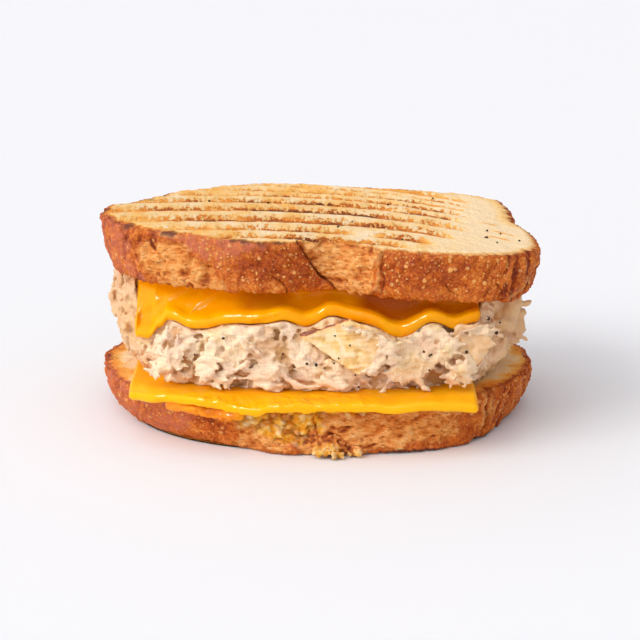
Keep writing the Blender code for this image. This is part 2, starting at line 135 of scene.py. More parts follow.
def noise(points, size, seed=0, octaves=1):
    """Smooth noise about 0 with features of the given size, in millimetres or one per axis."""
    q = points / np.asarray(size, float)
    total = np.zeros(len(points))
    weight = 1.0
    for octave in range(octaves):
        q = q @ TURN
        base = np.floor(q)
        f = q - base
        f = f * f * (3 - 2 * f)
        for corner in itertools.product((0, 1), repeat=3):
            share = np.prod(np.where(corner, f, 1 - f), axis=1)
            total += weight * share * (2 * hashed(base + corner, seed + octave) - 1)
        weight *= 0.5
        q = q * 2.03 + 11.7
    return total


def cells(points, size, seed=0):
    """Scattered dots: distance to the nearest one, in sizes, and that dot's random number."""
    q = points / np.asarray(size, float)
    base = np.floor(q)
    nearest = np.full(len(points), 9.0)
    mark = np.zeros(len(points))
    for step in itertools.product((-1, 0, 1), repeat=3):
        cell = base + step
        dot = cell + np.stack([hashed(cell, seed + axis) for axis in range(3)], 1)
        distance = np.linalg.norm(q - dot, axis=1)
        closer = distance < nearest
        nearest = np.where(closer, distance, nearest)
        mark = np.where(closer, hashed(cell, seed + 7), mark)
    return nearest, mark


def line_gap(u, h, line):
    """Distance from each (u, h) to a broken line, and which side of it the point is on."""
    best = np.full(len(u), 1e9)
    side = np.zeros(len(u))
    for (u0, h0), (u1, h1) in zip(line, line[1:]):
        du, dh = u1 - u0, h1 - h0
        share = np.clip(((u - u0) * du + (h - h0) * dh) / (du * du + dh * dh), 0, 1)
        distance = np.hypot(u - u0 - share * du, h - h0 - share * dh)
        closer = distance < best
        best = np.where(closer, distance, best)
        side = np.where(closer, np.sign(du * (h - h0) - dh * (u - u0)), side)
    return best, side


def lid_height(x, y):
    """Height of the upper slice's underside."""
    corner = np.maximum(0, -x - 20) * np.maximum(0, y) / 1000
    return 43.4 - 0.045 * x - 0.00042 * x * x - corner


def top_height(x):
    """Height of the upper slice's grilled face."""
    return 57.3 - 0.065 * x - 0.00012 * x * x


# ---------------------------------------------------------------- meshes and objects

low, high = (np.array(corner) * 1000 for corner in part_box("cheese_lower"))
SHIFT = np.array([(low[0] + high[0]) / 2 + 5.0, high[1] - LOWER_CHEESE_BACK, 0.0])


def place(points):
    return (np.asarray(points, float) + SHIFT) / 1000


def make_mesh(name, points, faces, layers=None):
    """A mesh of triangles in the frame, with its layers of numbers stored on its points."""
    faces = np.asarray(faces, np.int32)
    mesh = bpy.data.meshes.new(name)
    mesh.vertices.add(len(points))
    mesh.vertices.foreach_set("co", place(points).astype(np.float32).ravel())
    mesh.loops.add(faces.size)
    mesh.loops.foreach_set("vertex_index", faces.ravel())
    mesh.polygons.add(len(faces))
    mesh.polygons.foreach_set("loop_start", np.arange(len(faces), dtype=np.int32) * 3)
    mesh.update(calc_edges=True)
    mesh.validate()
    set_layers(mesh, layers or {})
    return mesh


def set_layers(mesh, layers):
    for key, values in layers.items():
        layer = mesh.attributes.get(key) or mesh.attributes.new(key, "FLOAT", "POINT")
        layer.data.foreach_set("value", np.asarray(values, np.float32))


def mesh_points(mesh):
    """The points of a mesh in the sandwich's millimetres."""
    flat = np.empty(len(mesh.vertices) * 3, np.float32)
    mesh.vertices.foreach_get("co", flat)
    return flat.reshape(-1, 3).astype(float) * 1000 - SHIFT


def mesh_faces(mesh):
    mesh.calc_loop_triangles()
    faces = np.empty(len(mesh.loop_triangles) * 3, np.int32)
    mesh.loop_triangles.foreach_get("vertices", faces)
    return faces.reshape(-1, 3).tolist()


def mesh_normals(mesh):
    flat = np.empty(len(mesh.vertices) * 3, np.float32)
    mesh.vertex_normals.foreach_get("vector", flat)
    return flat.reshape(-1, 3).astype(float)


def pushed_out(mesh, points, amount):
    """The points moved out of the mesh by an amount for each."""
    return points + mesh_normals(mesh) * amount[:, None]


def set_points(mesh, points):
    mesh.vertices.foreach_set("co", place(points).astype(np.float32).ravel())
    mesh.update()


def add_piece(name, mesh, material, slot, *nodes):
    """Links a finished mesh as a piece that stands for the given CAD nodes."""
    mesh.materials.clear()
    mesh.materials.append(material)
    mesh.shade_smooth()
    piece = bpy.data.objects.new(name, mesh)
    bpy.context.scene.collection.objects.link(piece)
    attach(piece, "root")
    if nodes:
        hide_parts(*nodes)
    return piece


def quads(grid):
    """Triangles between neighbouring points of a grid of point numbers."""
    a, b, c, d = grid[:-1, :-1], grid[1:, :-1], grid[1:, 1:], grid[:-1, 1:]
    first = np.stack([a, b, c], -1).reshape(-1, 3)
    second = np.stack([a, c, d], -1).reshape(-1, 3)
    return np.concatenate([first, second])


def fuse(name, points, faces, voxel, keep=None, most=None):
    """One skin round a heap of overlapping closed shapes, of about the most triangles if stated."""
    obj = bpy.data.objects.new(name, make_mesh(name, points, faces))
    bpy.context.scene.collection.objects.link(obj)
    apply_modifier(obj, "REMESH", mode="VOXEL", voxel_size=voxel / 1000)
    if keep is not None:
        thin_out(obj, keep)
    if most is not None:
        apply_modifier(obj, "DECIMATE", ratio=min(1.0, most / (2 * len(obj.data.vertices))))
    mesh = obj.data
    bpy.data.objects.remove(obj)
    return mesh


def apply_modifier(obj, kind, **settings):
    modifier = obj.modifiers.new("Step", kind)
    for key, value in settings.items():
        setattr(modifier, key, value)
    graph = bpy.context.evaluated_depsgraph_get()
    mesh = bpy.data.meshes.new_from_object(obj.evaluated_get(graph))
    obj.modifiers.clear()
    obj.data = mesh


def thin_out(obj, hidden):
    """Collapses the flat parts of a fused mesh that hidden(points) picks out."""
    points = mesh_points(obj.data)
    chosen = np.nonzero(hidden(points))[0]
    group = obj.vertex_groups.new(name="hidden")
    group.add(chosen.tolist(), 1.0, "REPLACE")
    ratio = max(0.05, 1 - 0.93 * len(chosen) / len(points))
    apply_modifier(obj, "DECIMATE", ratio=ratio, vertex_group="hidden", vertex_group_factor=10)


# ---------------------------------------------------------------- node materials


class Shader:
    """A short way to write a node tree that ends in one Principled shader."""

    def __init__(self, name):
        self.material = bpy.data.materials.new(name)
        self.material.use_nodes = True
        self.tree = self.material.node_tree
        self.main = self.tree.nodes["Principled BSDF"]
        self.where = self.add("TexCoord").outputs["Object"]

    def feed(self, sockets, values):
        """Links or fills sockets in order. None leaves a socket alone."""
        for socket, value in zip(sockets, values):
            if isinstance(value, bpy.types.NodeSocket):
                self.tree.links.new(value, socket)
            elif value is not None:
                socket.default_value = value

    def add(self, kind, *values, **settings):
        """Adds a node and feeds its inputs in order."""
        made = self.tree.nodes.new("ShaderNode" + kind)
        for key, value in settings.items():
            setattr(made, key, value)
        self.feed([socket for socket in made.inputs if socket.enabled], values)
        return made

    def layer(self, key):
        return self.add("Attribute", attribute_name=key).outputs["Fac"]

    def math(self, operation, *values):
        return self.add("Math", *values, operation=operation).outputs[0]

    def times(self, value, factor):
        return self.math("MULTIPLY", value, factor)

    def gain(self, value, amount, share):
        """value + amount * share"""
        return self.math("MULTIPLY_ADD", amount, share, value)

    def vary(self, value, *changes):
        """value + (amount - 0.5) * share, for each amount and share in turn"""
        for amount, share in zip(changes[::2], changes[1::2]):
            value = self.gain(value, self.math("SUBTRACT", amount, 0.5), share)
        return value

    def mix(self, share, first, second):
        made = self.add("Mix", data_type="RGBA")
        self.feed([made.inputs[0], made.inputs[6], made.inputs[7]], (share, first, second))
        return made.outputs[2]

    def cover(self, base, share, most, *seen):
        """base with a colour laid over it by share * most"""
        return self.mix(self.times(share, most), base, srgb(*seen))

    def texture(self, kind, size, where=None, **inputs):
        """A texture with features of the given size in millimetres."""
        made = self.add(kind)
        self.tree.links.new(self.where if where is None else where, made.inputs["Vector"])
        made.inputs["Scale"].default_value = 1000 / size
        for key, value in inputs.items():
            made.inputs[key].default_value = value
        return made

    def noise(self, size, detail=3.0, rough=0.55, stretch=None):
        """Noise from 0 to 1, its features shortened along each axis by stretch."""
        where = stretch and self.add("Mapping", self.where, None, None, stretch).outputs[0]
        return self.texture("TexNoise", size, where, Detail=detail, Roughness=rough).outputs[0]

    def dots(self, size, most):
        """1 in round dots, one to a cell of the given size, of random radius up to most cells."""
        made = self.texture("TexVoronoi", size)
        chance = self.add("SeparateColor", made.outputs["Color"]).outputs[0]
        radius = self.times(self.math("POWER", chance, 1.5), most)
        return self.grey_ramp(self.math("SUBTRACT", radius, made.outputs["Distance"]), -0.03, 0.06)

    def ramp(self, value, *stops):
        """Colours at places from 0 to 1, each stop as (place, red, green, blue)."""
        made = self.add("ValToRGB", value)
        band = made.color_ramp
        while len(band.elements) < len(stops):
            band.elements.new(0.5)
        for element, (at, *seen) in zip(band.elements, stops):
            element.position = at
            element.color = srgb(*seen)
        return made.outputs[0]

    def grey_ramp(self, value, low, high):
        """0 at low and 1 at high, whichever of them is the larger."""
        return self.add("MapRange", value, low, high, 0.0, 1.0).outputs[0]

    def bump(self, height, strength, depth, after=None):
        made = self.add("Bump")
        for key, value in (
            ("Strength", strength),
            ("Distance", depth / 1000),
            ("Height", height),
            ("Normal", after),
        ):
            self.feed([made.inputs[key]], [value])
        return made.outputs[0]

    def finish(self, **values):
        for key, value in values.items():
            name = key.replace("_", " ").title().replace("Ior", "IOR")
            self.feed([self.main.inputs[name]], [value])
        return self.material


def srgb(red, green, blue):
    """A colour given as it is seen on a screen, from 0 to 255."""
    seen = np.array([red, green, blue]) / 255
    linear = np.where(seen <= 0.04045, seen / 12.92, ((seen + 0.055) / 1.055) ** 2.4)
    return (*(float(v) for v in linear), 1.0)


# ---------------------------------------------------------------- the shape of a slice


def outline_at(shape, angle):
    """Points of a slice's outline: a boxy base at the back, and a round crown at the front."""
    c, s = np.cos(angle), np.sin(angle)
    powers = shape["powers"]
    back = np.where(c >= 0, powers[0], powers[1])
    front = np.where(c >= 0, powers[3], powers[2])
    power = 2 / np.where(s >= 0, back, front)
    x = np.where(c >= 0, shape["right"], shape["left"]) * np.sign(c) * np.abs(c) ** power
    y = np.where(s >= 0, shape["back"], shape["front"]) * np.sign(s) * np.abs(s) ** power
    y = y + shape["widest"]
    start = shape["narrow_from"]
    narrowing = smooth(start, start + 14, y) + 0.4 * bump(y, start + 12, 8)
    x = x - np.sign(x) * narrowing * shape["neck"] * smooth(0, 40, np.abs(x))
    at, width, dent = shape["burst"]
    return np.stack([x, np.where(s < 0, y + dent * bump(x, at, width), y)], 1)


class Outline:
    """A slice's outline as points that lie closer together round the crown."""

    def __init__(self, shape, count):
        dense = outline_at(shape, np.linspace(0, 2 * np.pi, 12001))
        step = np.linalg.norm(np.diff(dense, axis=0), axis=1)
        weight = lerp(1.35, 0.8, smooth(-8, 8, dense[1:, 1] - shape["widest"]))
        paced = np.concatenate([[0], np.cumsum(step * weight)])
        length = np.concatenate([[0], np.cumsum(step)])
        wanted = np.linspace(0, paced[-1], count + 1)
        self.points = np.stack([np.interp(wanted, paced, dense[:, axis]) for axis in (0, 1)], 1)
        along = np.interp(wanted, paced, length)
        ahead = np.roll(self.points[:-1], -1, 0) - np.roll(self.points[:-1], 1, 0)
        ahead = unit_length(ahead)
        self.outward = np.stack([ahead[:, 1], -ahead[:, 0]], 1)
        self.outward = np.concatenate([self.outward, self.outward[:1]])
        front = self.points[:, 1] < shape["widest"]
        middle = np.interp(0, self.points[front, 0], along[front])
        self.along = along - middle
        self.front_x = self.points[front, 0]
        self.front_along = self.along[front]
        self.count = count

    def read(self, values, share):
        """values at a share from 0 to 1 of the way round."""
        wanted = share * self.count
        return np.stack([np.interp(wanted, np.arange(self.count + 1), v) for v in values.T], 1)

    def on_front(self, line):
        """Turns (x, share of the height) into (distance along the crust, height)."""
        return [(float(np.interp(x, self.front_x, self.front_along)), s * THICK) for x, s in line]


def ring_plan(count, reach, gap, growth, widest_gap):
    """Rings from the rim of a plain face to its middle: (share of the way out, point count)."""
    plan, distance = [], 0.0
    while distance + gap < reach:
        distance += gap
        share = 1 - distance / reach
        if count % 16 == 0 and OUTLINE_LENGTH * share / count < 0.6 * gap:
            count //= 2
        plan.append((share, count))
        gap = min(widest_gap, gap * growth)
    return plan


def slice_topology(half, rows, plan):
    """Faces of a slice, and for each point its share outwards, round and upwards.

    The upper face is a grid wrapped to the outline, the side is rows of points, and the
    underside is rings that thin out towards the middle.
    """
    axis = np.arange(-half, half + 1)
    a, b = np.meshgrid(axis, axis, indexing="ij")
    m = np.maximum(np.abs(a), np.abs(b))
    k = np.where((a == m) & (b >= 0), b, 8 * m + b)
    k = np.where((b == m) & (a < m), 2 * m - a, k)
    k = np.where((a == -m) & (b < m), 4 * m - b, k)
    k = np.where((b == -m) & (a > -m) & (a < m), 6 * m + a, k)
    k = np.where((a == m) & (b == -m), 7 * m, k)
    turn = np.where(m > 0, k / np.maximum(8 * m, 1), 0.0)
    grid = np.arange(a.size).reshape(a.shape)
    rim = np.empty(8 * half, int)
    on_rim = m == half
    rim[k[on_rim]] = grid[on_rim]
    out = [(m / half).ravel()]
    around = [turn.ravel()]
    up = [np.ones(a.size)]
    faces = [quads(grid)]
    total = a.size
    belts = [rim]
    even = np.arange(8 * half) / (8 * half)
    for row in range(1, rows + 1):
        belts.append(np.arange(total, total + 8 * half))
        total += 8 * half
        out.append(np.ones(8 * half))
        around.append(even)
        up.append(np.full(8 * half, 1 - row / rows))
    belt = np.array(belts)
    faces.append(quads(np.concatenate([belt, belt[:, :1]], 1)))
    outer = belts[-1]
    for share, count in plan:
        inner = np.arange(total, total + count)
        total += count
        out.append(np.full(count, share))
        around.append(np.arange(count) / count)
        up.append(np.zeros(count))
        faces.append(bridge(outer, inner))
        outer = inner
    out.append([0.0])
    around.append([0.0])
    up.append([0.0])
    faces.append(np.stack([outer, np.full(len(outer), total), np.roll(outer, -1)], 1))
    return np.concatenate(faces), np.concatenate(out), np.concatenate(around), np.concatenate(up)


def bridge(outer, inner):
    """Triangles between two rings, the inner of which has as many points or half as many."""
    if len(inner) == len(outer):
        return quads(np.array([np.append(outer, outer[0]), np.append(inner, inner[0])]))
    first, middle, last = outer[0::2], outer[1::2], np.roll(outer[0::2], -1)
    after = np.roll(inner, -1)
    fans = ((first, inner, middle), (middle, inner, after), (middle, after, last))
    return np.concatenate([np.stack(fan, 1) for fan in fans])


# ---------------------------------------------------------------- the crust


def patch(u, h, corners, edge, rough):
    """1 inside a polygon and 0 outside it, over an edge of the given half width."""
    closed = list(corners) + [corners[0]]
    distance, _ = line_gap(u, h, closed)
    inside = np.zeros(len(u), bool)
    for (u0, h0), (u1, h1) in zip(closed, closed[1:]):
        if h0 != h1:
            inside ^= ((h0 > h) != (h1 > h)) & (u < (u1 - u0) * (h - h0) / (h1 - h0) + u0)
    return smooth(-edge, edge, np.where(inside, distance, -distance) + rough)


# Places on the front of a crust are (x, share of the slice's height). A crack is (depth, width,
# step from one side to the other, line) and a ridge is (height, width, line).
UPPER_CRUST = {
    "seed": 3,
    "flaky": 1.25,
    "torn": [
        (
            *((-50, 0.85), (-45, 0.78), (-38, 0.84), (-34, 0.60), (-29, 0.40)),
            *((-24, 0.12), (-25, -0.1), (-37, -0.1), (-46, 0.12), (-49, 0.40)),
        ),
        (
            *((-4.2, 1.1), (-2.6, 0.70), (0.6, 0.35), (5.0, -0.1)),
            *((12.2, -0.1), (14.6, 0.30), (14.2, 0.60), (16.0, 1.1)),
        ),
    ],
    "frayed": [],
    "cracks": [
        (1.2, 0.35, 0.5, ((-54.5, 1.02), (-53.0, 0.70), (-51.0, 0.35), (-49.6, 0.15))),
        (0.7, 0.25, 0.0, ((-52.5, 0.80), (-51.0, 0.60), (-49.0, 0.36))),
        (1.5, 0.26, -0.8, ((-5.8, 1.02), (-3.6, 0.72), (-1.6, 0.50), (1.2, 0.25), (4.6, -0.05))),
        (0.9, 0.30, 0.4, ((-12.0, 0.30), (-9.5, 0.18), (-8.0, 0.0))),
        (0.6, 0.60, 0.3, ((-46.0, 0.80), (-45.0, 0.65))),
        (0.5, 0.24, 0.5, ((33.5, 0.34), (35.0, 0.22), (37.5, 0.12))),
        (0.7, 0.30, 0.3, ((17.0, 0.95), (16.6, 0.60), (17.2, 0.35), (16.0, 0.10))),
        (0.6, 0.30, 0.3, ((47.5, 0.40), (49.0, 0.22), (48.5, 0.05))),
    ],
    "ridges": [
        (0.9, 0.8, ((17.0, 0.98), (15.2, 0.66), (15.7, 0.42), (15.0, 0.20), (12.8, 0.02))),
        (0.6, 0.7, ((51.0, 0.08), (54.0, 0.22), (58.0, 0.42))),
        (0.5, 0.9, ((-43.0, 0.93), (-38.0, 0.95))),
    ],
    "speckled": [
        ((-36, 0.85), (-8, 0.92), (-2, 0.55), (1, 0.25), (-12, 0.10), (-24, 0.20), (-30, 0.50)),
        ((17, 0.95), (50, 0.95), (52, 0.20), (44, 0.02), (15, 0.02)),
    ],
    # Where a pinkish sheen is painted on the crust, on the side towards the light.
    "painted_sheen": [
        ((-47, 1.1), (-14, 1.1), (-18, 0.78), (-27, 0.52), (-33, 0.62), (-40, 0.84)),
        ((-70, 1.1), (-53, 1.1), (-50, 0.30), (-47, -0.1), (-70, -0.1)),
    ],
    "dark": [
        ((-24, 0.75), (-6, 0.85), (1, 0.30), (-8, 0.10), (-18, 0.30)),
        ((18, 0.85), (36, 0.88), (40, 0.55), (30, 0.30), (18, 0.35)),
    ],
    "burnt": [
        ((-53.5, 1.1), (-50.5, 1.1), (-51.0, 0.92), (-53.5, 0.93)),
        ((-43.0, 1.1), (-37.5, 1.1), (-39.0, 0.93), (-42.5, 0.92)),
        ((-25.0, 1.1), (-8.0, 1.1), (-10.0, 0.97), (-24.0, 0.96)),
    ],
    "soaked": [],
}
LOWER_CRUST = {
    "seed": 8,
    "flaky": 1.1,
    "torn": [
        (
            *((-25, 0.10), (-22, 0.30), (-22.5, 0.55), (-21, 0.80)),
            *((-17, 0.60), (-9, 0.32), (-8, 0.06), (-18, 0.04)),
        ),
        ((-21, 1.1), (-2, 1.1), (-1, 0.60), (-4, 0.30), (-9, 0.28), (-17, 0.55)),
        (
            *((-1.0, 1.1), (30, 1.1), (39, 0.84), (38, 0.30)),
            *((28, 0.16), (10, 0.10), (-3, -0.1), (-6, 0.2)),
        ),
    ],
    "frayed": [((45.0, 1.0), (48.5, 1.0), (48, 0.3), (45.0, 0.3))],
    "cracks": [
        (1.4, 0.45, 0.5, ((47.5, 1.02), (46.5, 0.70), (46.8, 0.35), (45.5, 0.15))),
        (0.9, 0.45, 0.3, ((-0.4, 0.95), (-1.8, 0.74), (-0.6, 0.55), (-2.6, 0.38), (-2.0, 0.25))),
        (0.9, 0.90, 0.0, ((2.5, 0.42), (4.5, 0.36))),
    ],
    "ridges": [
        (0.7, 0.8, ((45.4, 0.95), (44.8, 0.60), (45.2, 0.30))),
        (0.5, 0.7, ((-21.0, 0.88), (-13.0, 0.50), (-5.0, 0.28))),
    ],
    "speckled": [
        ((-54, 0.85), (-29, 0.88), (-27, 0.25), (-46, 0.25)),
        ((42, 0.8), (60, 0.9), (60, 0.3), (44, 0.3)),
    ],
    # Where a pinkish sheen is painted on the crust, on the side towards the light.
    "painted_sheen": [((-70, 1.1), (-34, 1.1), (-36, 0.40), (-44, -0.1), (-70, -0.1))],
    "dark": [((-34, 0.95), (-27, 0.95), (-27, 0.40), (-36, 0.50))],
    "burnt": [((18, 0.02), (60, 0.05), (60, -0.1), (18, -0.1))],
    "soaked": [
        (
            *((-25, 1.1), (18, 1.1), (12, 0.80), (2, 0.74)),
            *((-1, 0.34), (-8, 0.16), (-15, 0.28), (-22, 0.66)),
        ),
    ],
}


def crust_of(look, outline, rim, u, h):
    """How far a crust stands out at each point, and the layers that its colours come from."""
    seed = look["seed"]
    q = np.stack([u, h, 0.3 * rim[:, 2]], 1)
    ragged = noise(q, (2.6, 1.6, 9), seed + 1, 3)
    on_front = smooth(4, -4, rim[:, 1])

    def zones(key, edge, rough):
        shown = np.zeros(len(u))
        for corners in look[key]:
            shown = np.maximum(shown, patch(u, h, outline.on_front(corners), edge, rough * ragged))
        return shown * on_front

    torn = zones("torn", 0.5, 1.3)
    behind = smooth(0.30, 0.42, noise(rim, 13, seed + 2, 2)) * (1 - on_front)
    torn = np.maximum(torn, behind)
    frayed = np.maximum(zones("frayed", 1.5, 1.5), 0.35 * behind)
    relief = 0.60 * noise(rim, 17, seed + 3) + 0.50 * noise(rim, 5.5, seed + 4, 2)
    relief += 0.34 * (0.6 - 2 * np.abs(noise(q, (3.0, 2.2, 9), seed + 5, 3)))
    ends = smooth(38, 52, np.abs(rim[:, 0]))
    creases = 1 - 3 * np.abs(noise(q @ SLANT, (1.9, 7.5, 9), seed + 14, 2))
    relief += 0.42 * ends * np.clip(creases, -1, 1)
    distance, mark = cells(q, (2.3, 1.9, 9), seed + 6)
    blister = smooth(0.40, 0.16, distance) * smooth(0.45, 0.9, mark)
    whole = 1 - torn
    relief += 0.22 * blister * whole
    fibre = noise(q @ TILT, (2.4, 0.62, 6), seed + 8, 3)
    strand = 1 - 2.2 * np.abs(noise(q @ TILT, (4.0, 1.1, 6), seed + 9, 2))
    flake_gap, flake = cells(q @ TILT + 0.5 * ragged[:, None], (3.8, 2.1, 6), seed + 10)
    crumbs = noise(q, (1.2, 1.0, 6), seed + 12, 2)
    flaky = (flake - 0.5) * smooth(0.0, 0.4, 0.75 - flake_gap)
    rough = 0.18 * fibre + 0.12 * strand + 0.18 * crumbs + look["flaky"] * flaky
    relief += torn * (rough - 0.50) + frayed * whole * 0.4 * fibre
    # Painted shade: the torn crumb is darker where its flakes lie low, in soaked hollows and in
    # cracks.
    painted_shade = torn * np.clip(0.12 - 0.30 * fibre - 0.15 * strand - 0.2 * crumbs - 0.8 * flaky, 0, 1)
    soaked = zones("soaked", 1.2, 1.5)
    lump_gap, lump = cells(q + 0.4 * ragged[:, None], (2.4, 1.9, 6), seed + 16)
    hollow = smooth(0.30, 0.62, lump_gap) * soaked
    relief += soaked * (1.6 * lump - 0.8) - 0.8 * hollow
    painted_shade = np.maximum(painted_shade, 0.55 * hollow)
    for depth, width, step, line in look["cracks"]:
        gap, side = line_gap(u + 0.5 * ragged, h, outline.on_front(line))
        cut = bump(gap, 0, width) * on_front
        relief += step * 0.5 * side * np.exp(-gap / 2.5) * on_front - depth * cut
        painted_shade = np.maximum(painted_shade, cut)
    edge = np.zeros(len(u))
    for height, width, line in look["ridges"]:
        gap, _ = line_gap(u + 0.7 * ragged, h, outline.on_front(line))
        lip = bump(gap, 0, width) * on_front
        relief += height * lip * (1 + 0.5 * ragged)
        edge = np.maximum(edge, lip)
    layers = {
        "torn": torn,
        "frayed": frayed,
        "painted_shade": painted_shade,
        "pale": np.maximum(0.8 * blister * whole, 0.55 * edge),
        "speckled": np.maximum(zones("speckled", 2.0, 2.0), 0.25 * (1 - on_front)) * whole,
        "dark": zones("dark", 2.0, 2.0),
        "painted_sheen": zones("painted_sheen", 1.5, 2.0),
        "burnt": zones("burnt", 0.5, 0.8),
        # Painted shade in the creases at the ends.
        "crease_shade": ends * smooth(0.0, -0.9, creases) * whole,
        "soaked": soaked * (0.35 + 0.65 * smooth(0.2, 0.5, lump)),
    }
    return relief, layers


TILT = np.array(Matrix.Rotation(0.25, 3, "Z"))
SLANT = np.array(Matrix.Rotation(-0.35, 3, "Z"))


# ---------------------------------------------------------------- the grilled face

# Each line of the grill: distance back at GRILL_MIDDLE, span along x, and strength at its left,
# its middle and its right.
GRILL_LINES = (
    (-36.0, -28, 24, 1.0, 1.4, 1.2),
    (-27.5, -46, 30, 0.7, 1.4, 1.2),
    (-17.0, -62, 36, 0.7, 1.4, 1.3),
    (-4.2, -63, 40, 0.9, 1.4, 1.3),
    (6.5, -60, 40, 1.0, 1.3, 1.3),
    (15.2, -50, 42, 0.7, 1.2, 1.3),
    (22.5, -44, 42, 0.6, 1.0, 1.2),
    (29.5, -38, 44, 0.5, 0.9, 1.0),
    (35.5, -30, 44, 0.5, 0.7, 0.9),
)
# Short lines near the right end: distance back, and span along x.
GRILL_DASHES = ((3.0, 47, 56), (-4.5, 45, 54), (11.0, 44, 52))
GRILL_MIDDLE = 4  # the x where the lines lie farthest back
LINE_CURVE = (0.0034, 0.0075)  # how strongly they bend left and right of it
GROOVE = 0.5


def grilled_face(p, inside):
    """Height change of the grilled face at each point, and the layers of its browning.

    "row" counts the lines from front to back, so that its fraction says how far behind the near
    edge of its line a point is. "grill" is how strong that line is there.
    """
    x, y = p[:, 0], p[:, 1]
    flat = p * (1, 1, 0)
    curve = np.where(x < GRILL_MIDDLE, *LINE_CURVE)
    level = y + curve * (x - GRILL_MIDDLE) ** 2
    level = level - 0.8 * noise(flat, 16, 40) - 0.3 * noise(flat, 4, 41)
    lines = np.array([at for at, *_ in GRILL_LINES])
    ends = np.concatenate([[lines[0] - 12], lines, [lines[-1] + 12]])
    row = np.interp(level, ends, np.arange(len(ends)))
    patchy = 0.5 + 0.5 * noise(flat, (9, 3.5, 1), 43, 2)
    sink = np.zeros(len(p))
    grill = np.zeros(len(p))
    for number, (at, start, end, *strengths) in enumerate(GRILL_LINES):
        share = np.clip((x - start) / (end - start), 0, 1)
        strength = np.interp(share, (0, 0.5, 1), strengths)
        strength = strength * smooth(start - 4, start + 4, x) * smooth(end + 4, end - 6, x)
        gap = level - at
        groove = GROOVE * smooth(-1.0, 0.6, gap) * smooth(6.5, 1.0, gap)
        sink += groove * np.minimum(1, 1.3 * strength)
        grill = np.where(np.floor(row) == number + 1, strength * (0.55 + 0.75 * patchy), grill)
    pore_gap, pore_mark = cells(flat, (1.9, 1.4, 1), 45)
    pore = smooth(0.42, 0.12, pore_gap) * smooth(0.45, 0.7, pore_mark)
    sink += 0.22 * pore - 0.14 * noise(flat, 2.0, 46, 2)
    left = smooth(10, -60, x)
    behind = smooth(-10, 35, y)
    glow = 0.10 + 0.05 * left + 0.08 * behind + 0.16 * noise(flat, (5, 9, 1), 47, 2)
    # The pores darken a little: painted shade in them.
    toast = glow * smooth(46, 24, x) + 0.06 + 0.10 * pore
    plain = bump(x, 12, 5) * bump(y, -25, 5)
    grill *= 1 - plain
    toast -= 0.2 * plain
    for at, start, end in GRILL_DASHES:
        dash = bump(level, at, 0.6) * smooth(start, start + 3, x) * smooth(end, end - 3, x)
        toast = np.maximum(toast, 0.6 * dash)
    right = smooth(10, 34, x)
    rim = smooth(0.955, 0.995, inside + 0.008 * noise(flat, (2.0, 1.6, 1), 42, 3))
    toast = np.maximum(toast, rim * (0.40 + 0.28 * left - 0.10 * right))
    toast = np.maximum(toast, 0.26 * right * smooth(0.86, 0.97, inside) * smooth(-12, 0, y))
    return -sink - 0.25 * rim, {"toast": toast, "row": row, "grill": grill}


# ---------------------------------------------------------------- the slices


def slice_points(shape, look, half, rows, rings):
    """The unbent slice: its faces, points, shares outwards and upwards, jags and layers."""
    outline = Outline(shape, 8 * half)
    faces, out, turn, up = slice_topology(half, rows, ring_plan(8 * half, *rings))
    rim = outline.read(outline.points, turn)
    outward = outline.read(outline.outward, turn)
    along = outline.along[np.round(turn * outline.count).astype(int)]
    whole = outline.along[-1] - outline.along[0]
    along = np.where(along < -whole / 2, along + whole, along)
    near = out > 0.85
    rim3 = np.column_stack([rim, up * THICK])
    relief, layers = crust_of(look, outline, rim3[near], along[near], rim3[near, 2])
    reach = np.zeros(len(out))
    reach[near] = relief
    reach -= 0.8 * np.abs(2 * up - 1) ** 10
    for way, key in ((1, "tuck_right"), (-1, "tuck_left")):
        most, start, end = shape[key]
        reach -= most * smooth(start, end, way * rim[:, 0]) * (1 - up) ** 2
    middle = np.array([0, shape["widest"] + (shape["back"] - shape["front"]) / 2])
    flat = middle + out[:, None] * (rim - middle)
    flat += outward * (reach * smooth(0.86, 1.0, out))[:, None]
    flat[:, 1] += shape["lean"] * (up - 0.5) * smooth(-5, 20, -flat[:, 1])
    filled = {}
    for key, values in layers.items():
        filled[key] = np.zeros(len(out))
        filled[key][near] = values
    ragged = noise(spread(*flat.T), 1.6, look["seed"] + 20, 2)
    filled["crust"] = smooth(0.972, 0.992, out + 0.006 * ragged)
    jags = noise(spread(along), 1.2, look["seed"] + 21, 2)
    return faces, flat, out, up, jags * smooth(0.93, 1.0, out), filled


def make_bread_upper(material):
    faces, flat, out, up, jags, layers = slice_points(UPPER, UPPER_CRUST, *UPPER_MESH)
    x, y = flat.T
    change, browning = grilled_face(spread(x, y), out)
    is_top = up == 1
    height = lerp(lid_height(x, y), top_height(x), up)
    height += change * up**8 + 0.7 * jags * (1 - up) ** 5 + 0.25 * jags * up**8
    height -= 0.45 * smooth(0.985, 1.0, out) * is_top
    for key, values in browning.items():
        layers[key] = np.where(is_top, values, 0)
    layers["toast"] = np.where(is_top, layers["toast"], 0.35 + 0.2 * smooth(0.9, 1.0, out))
    soft_rim = 0.8 - 0.45 * smooth(15, 40, x)
    layers["crust"] = np.where(is_top & (out < 1), layers["crust"] * soft_rim, layers["crust"])
    mesh = make_mesh("upper_slice", spread(x, y, height), faces, layers)
    return add_piece("bread_top_slice", mesh, material, "bread", "bread_upper")


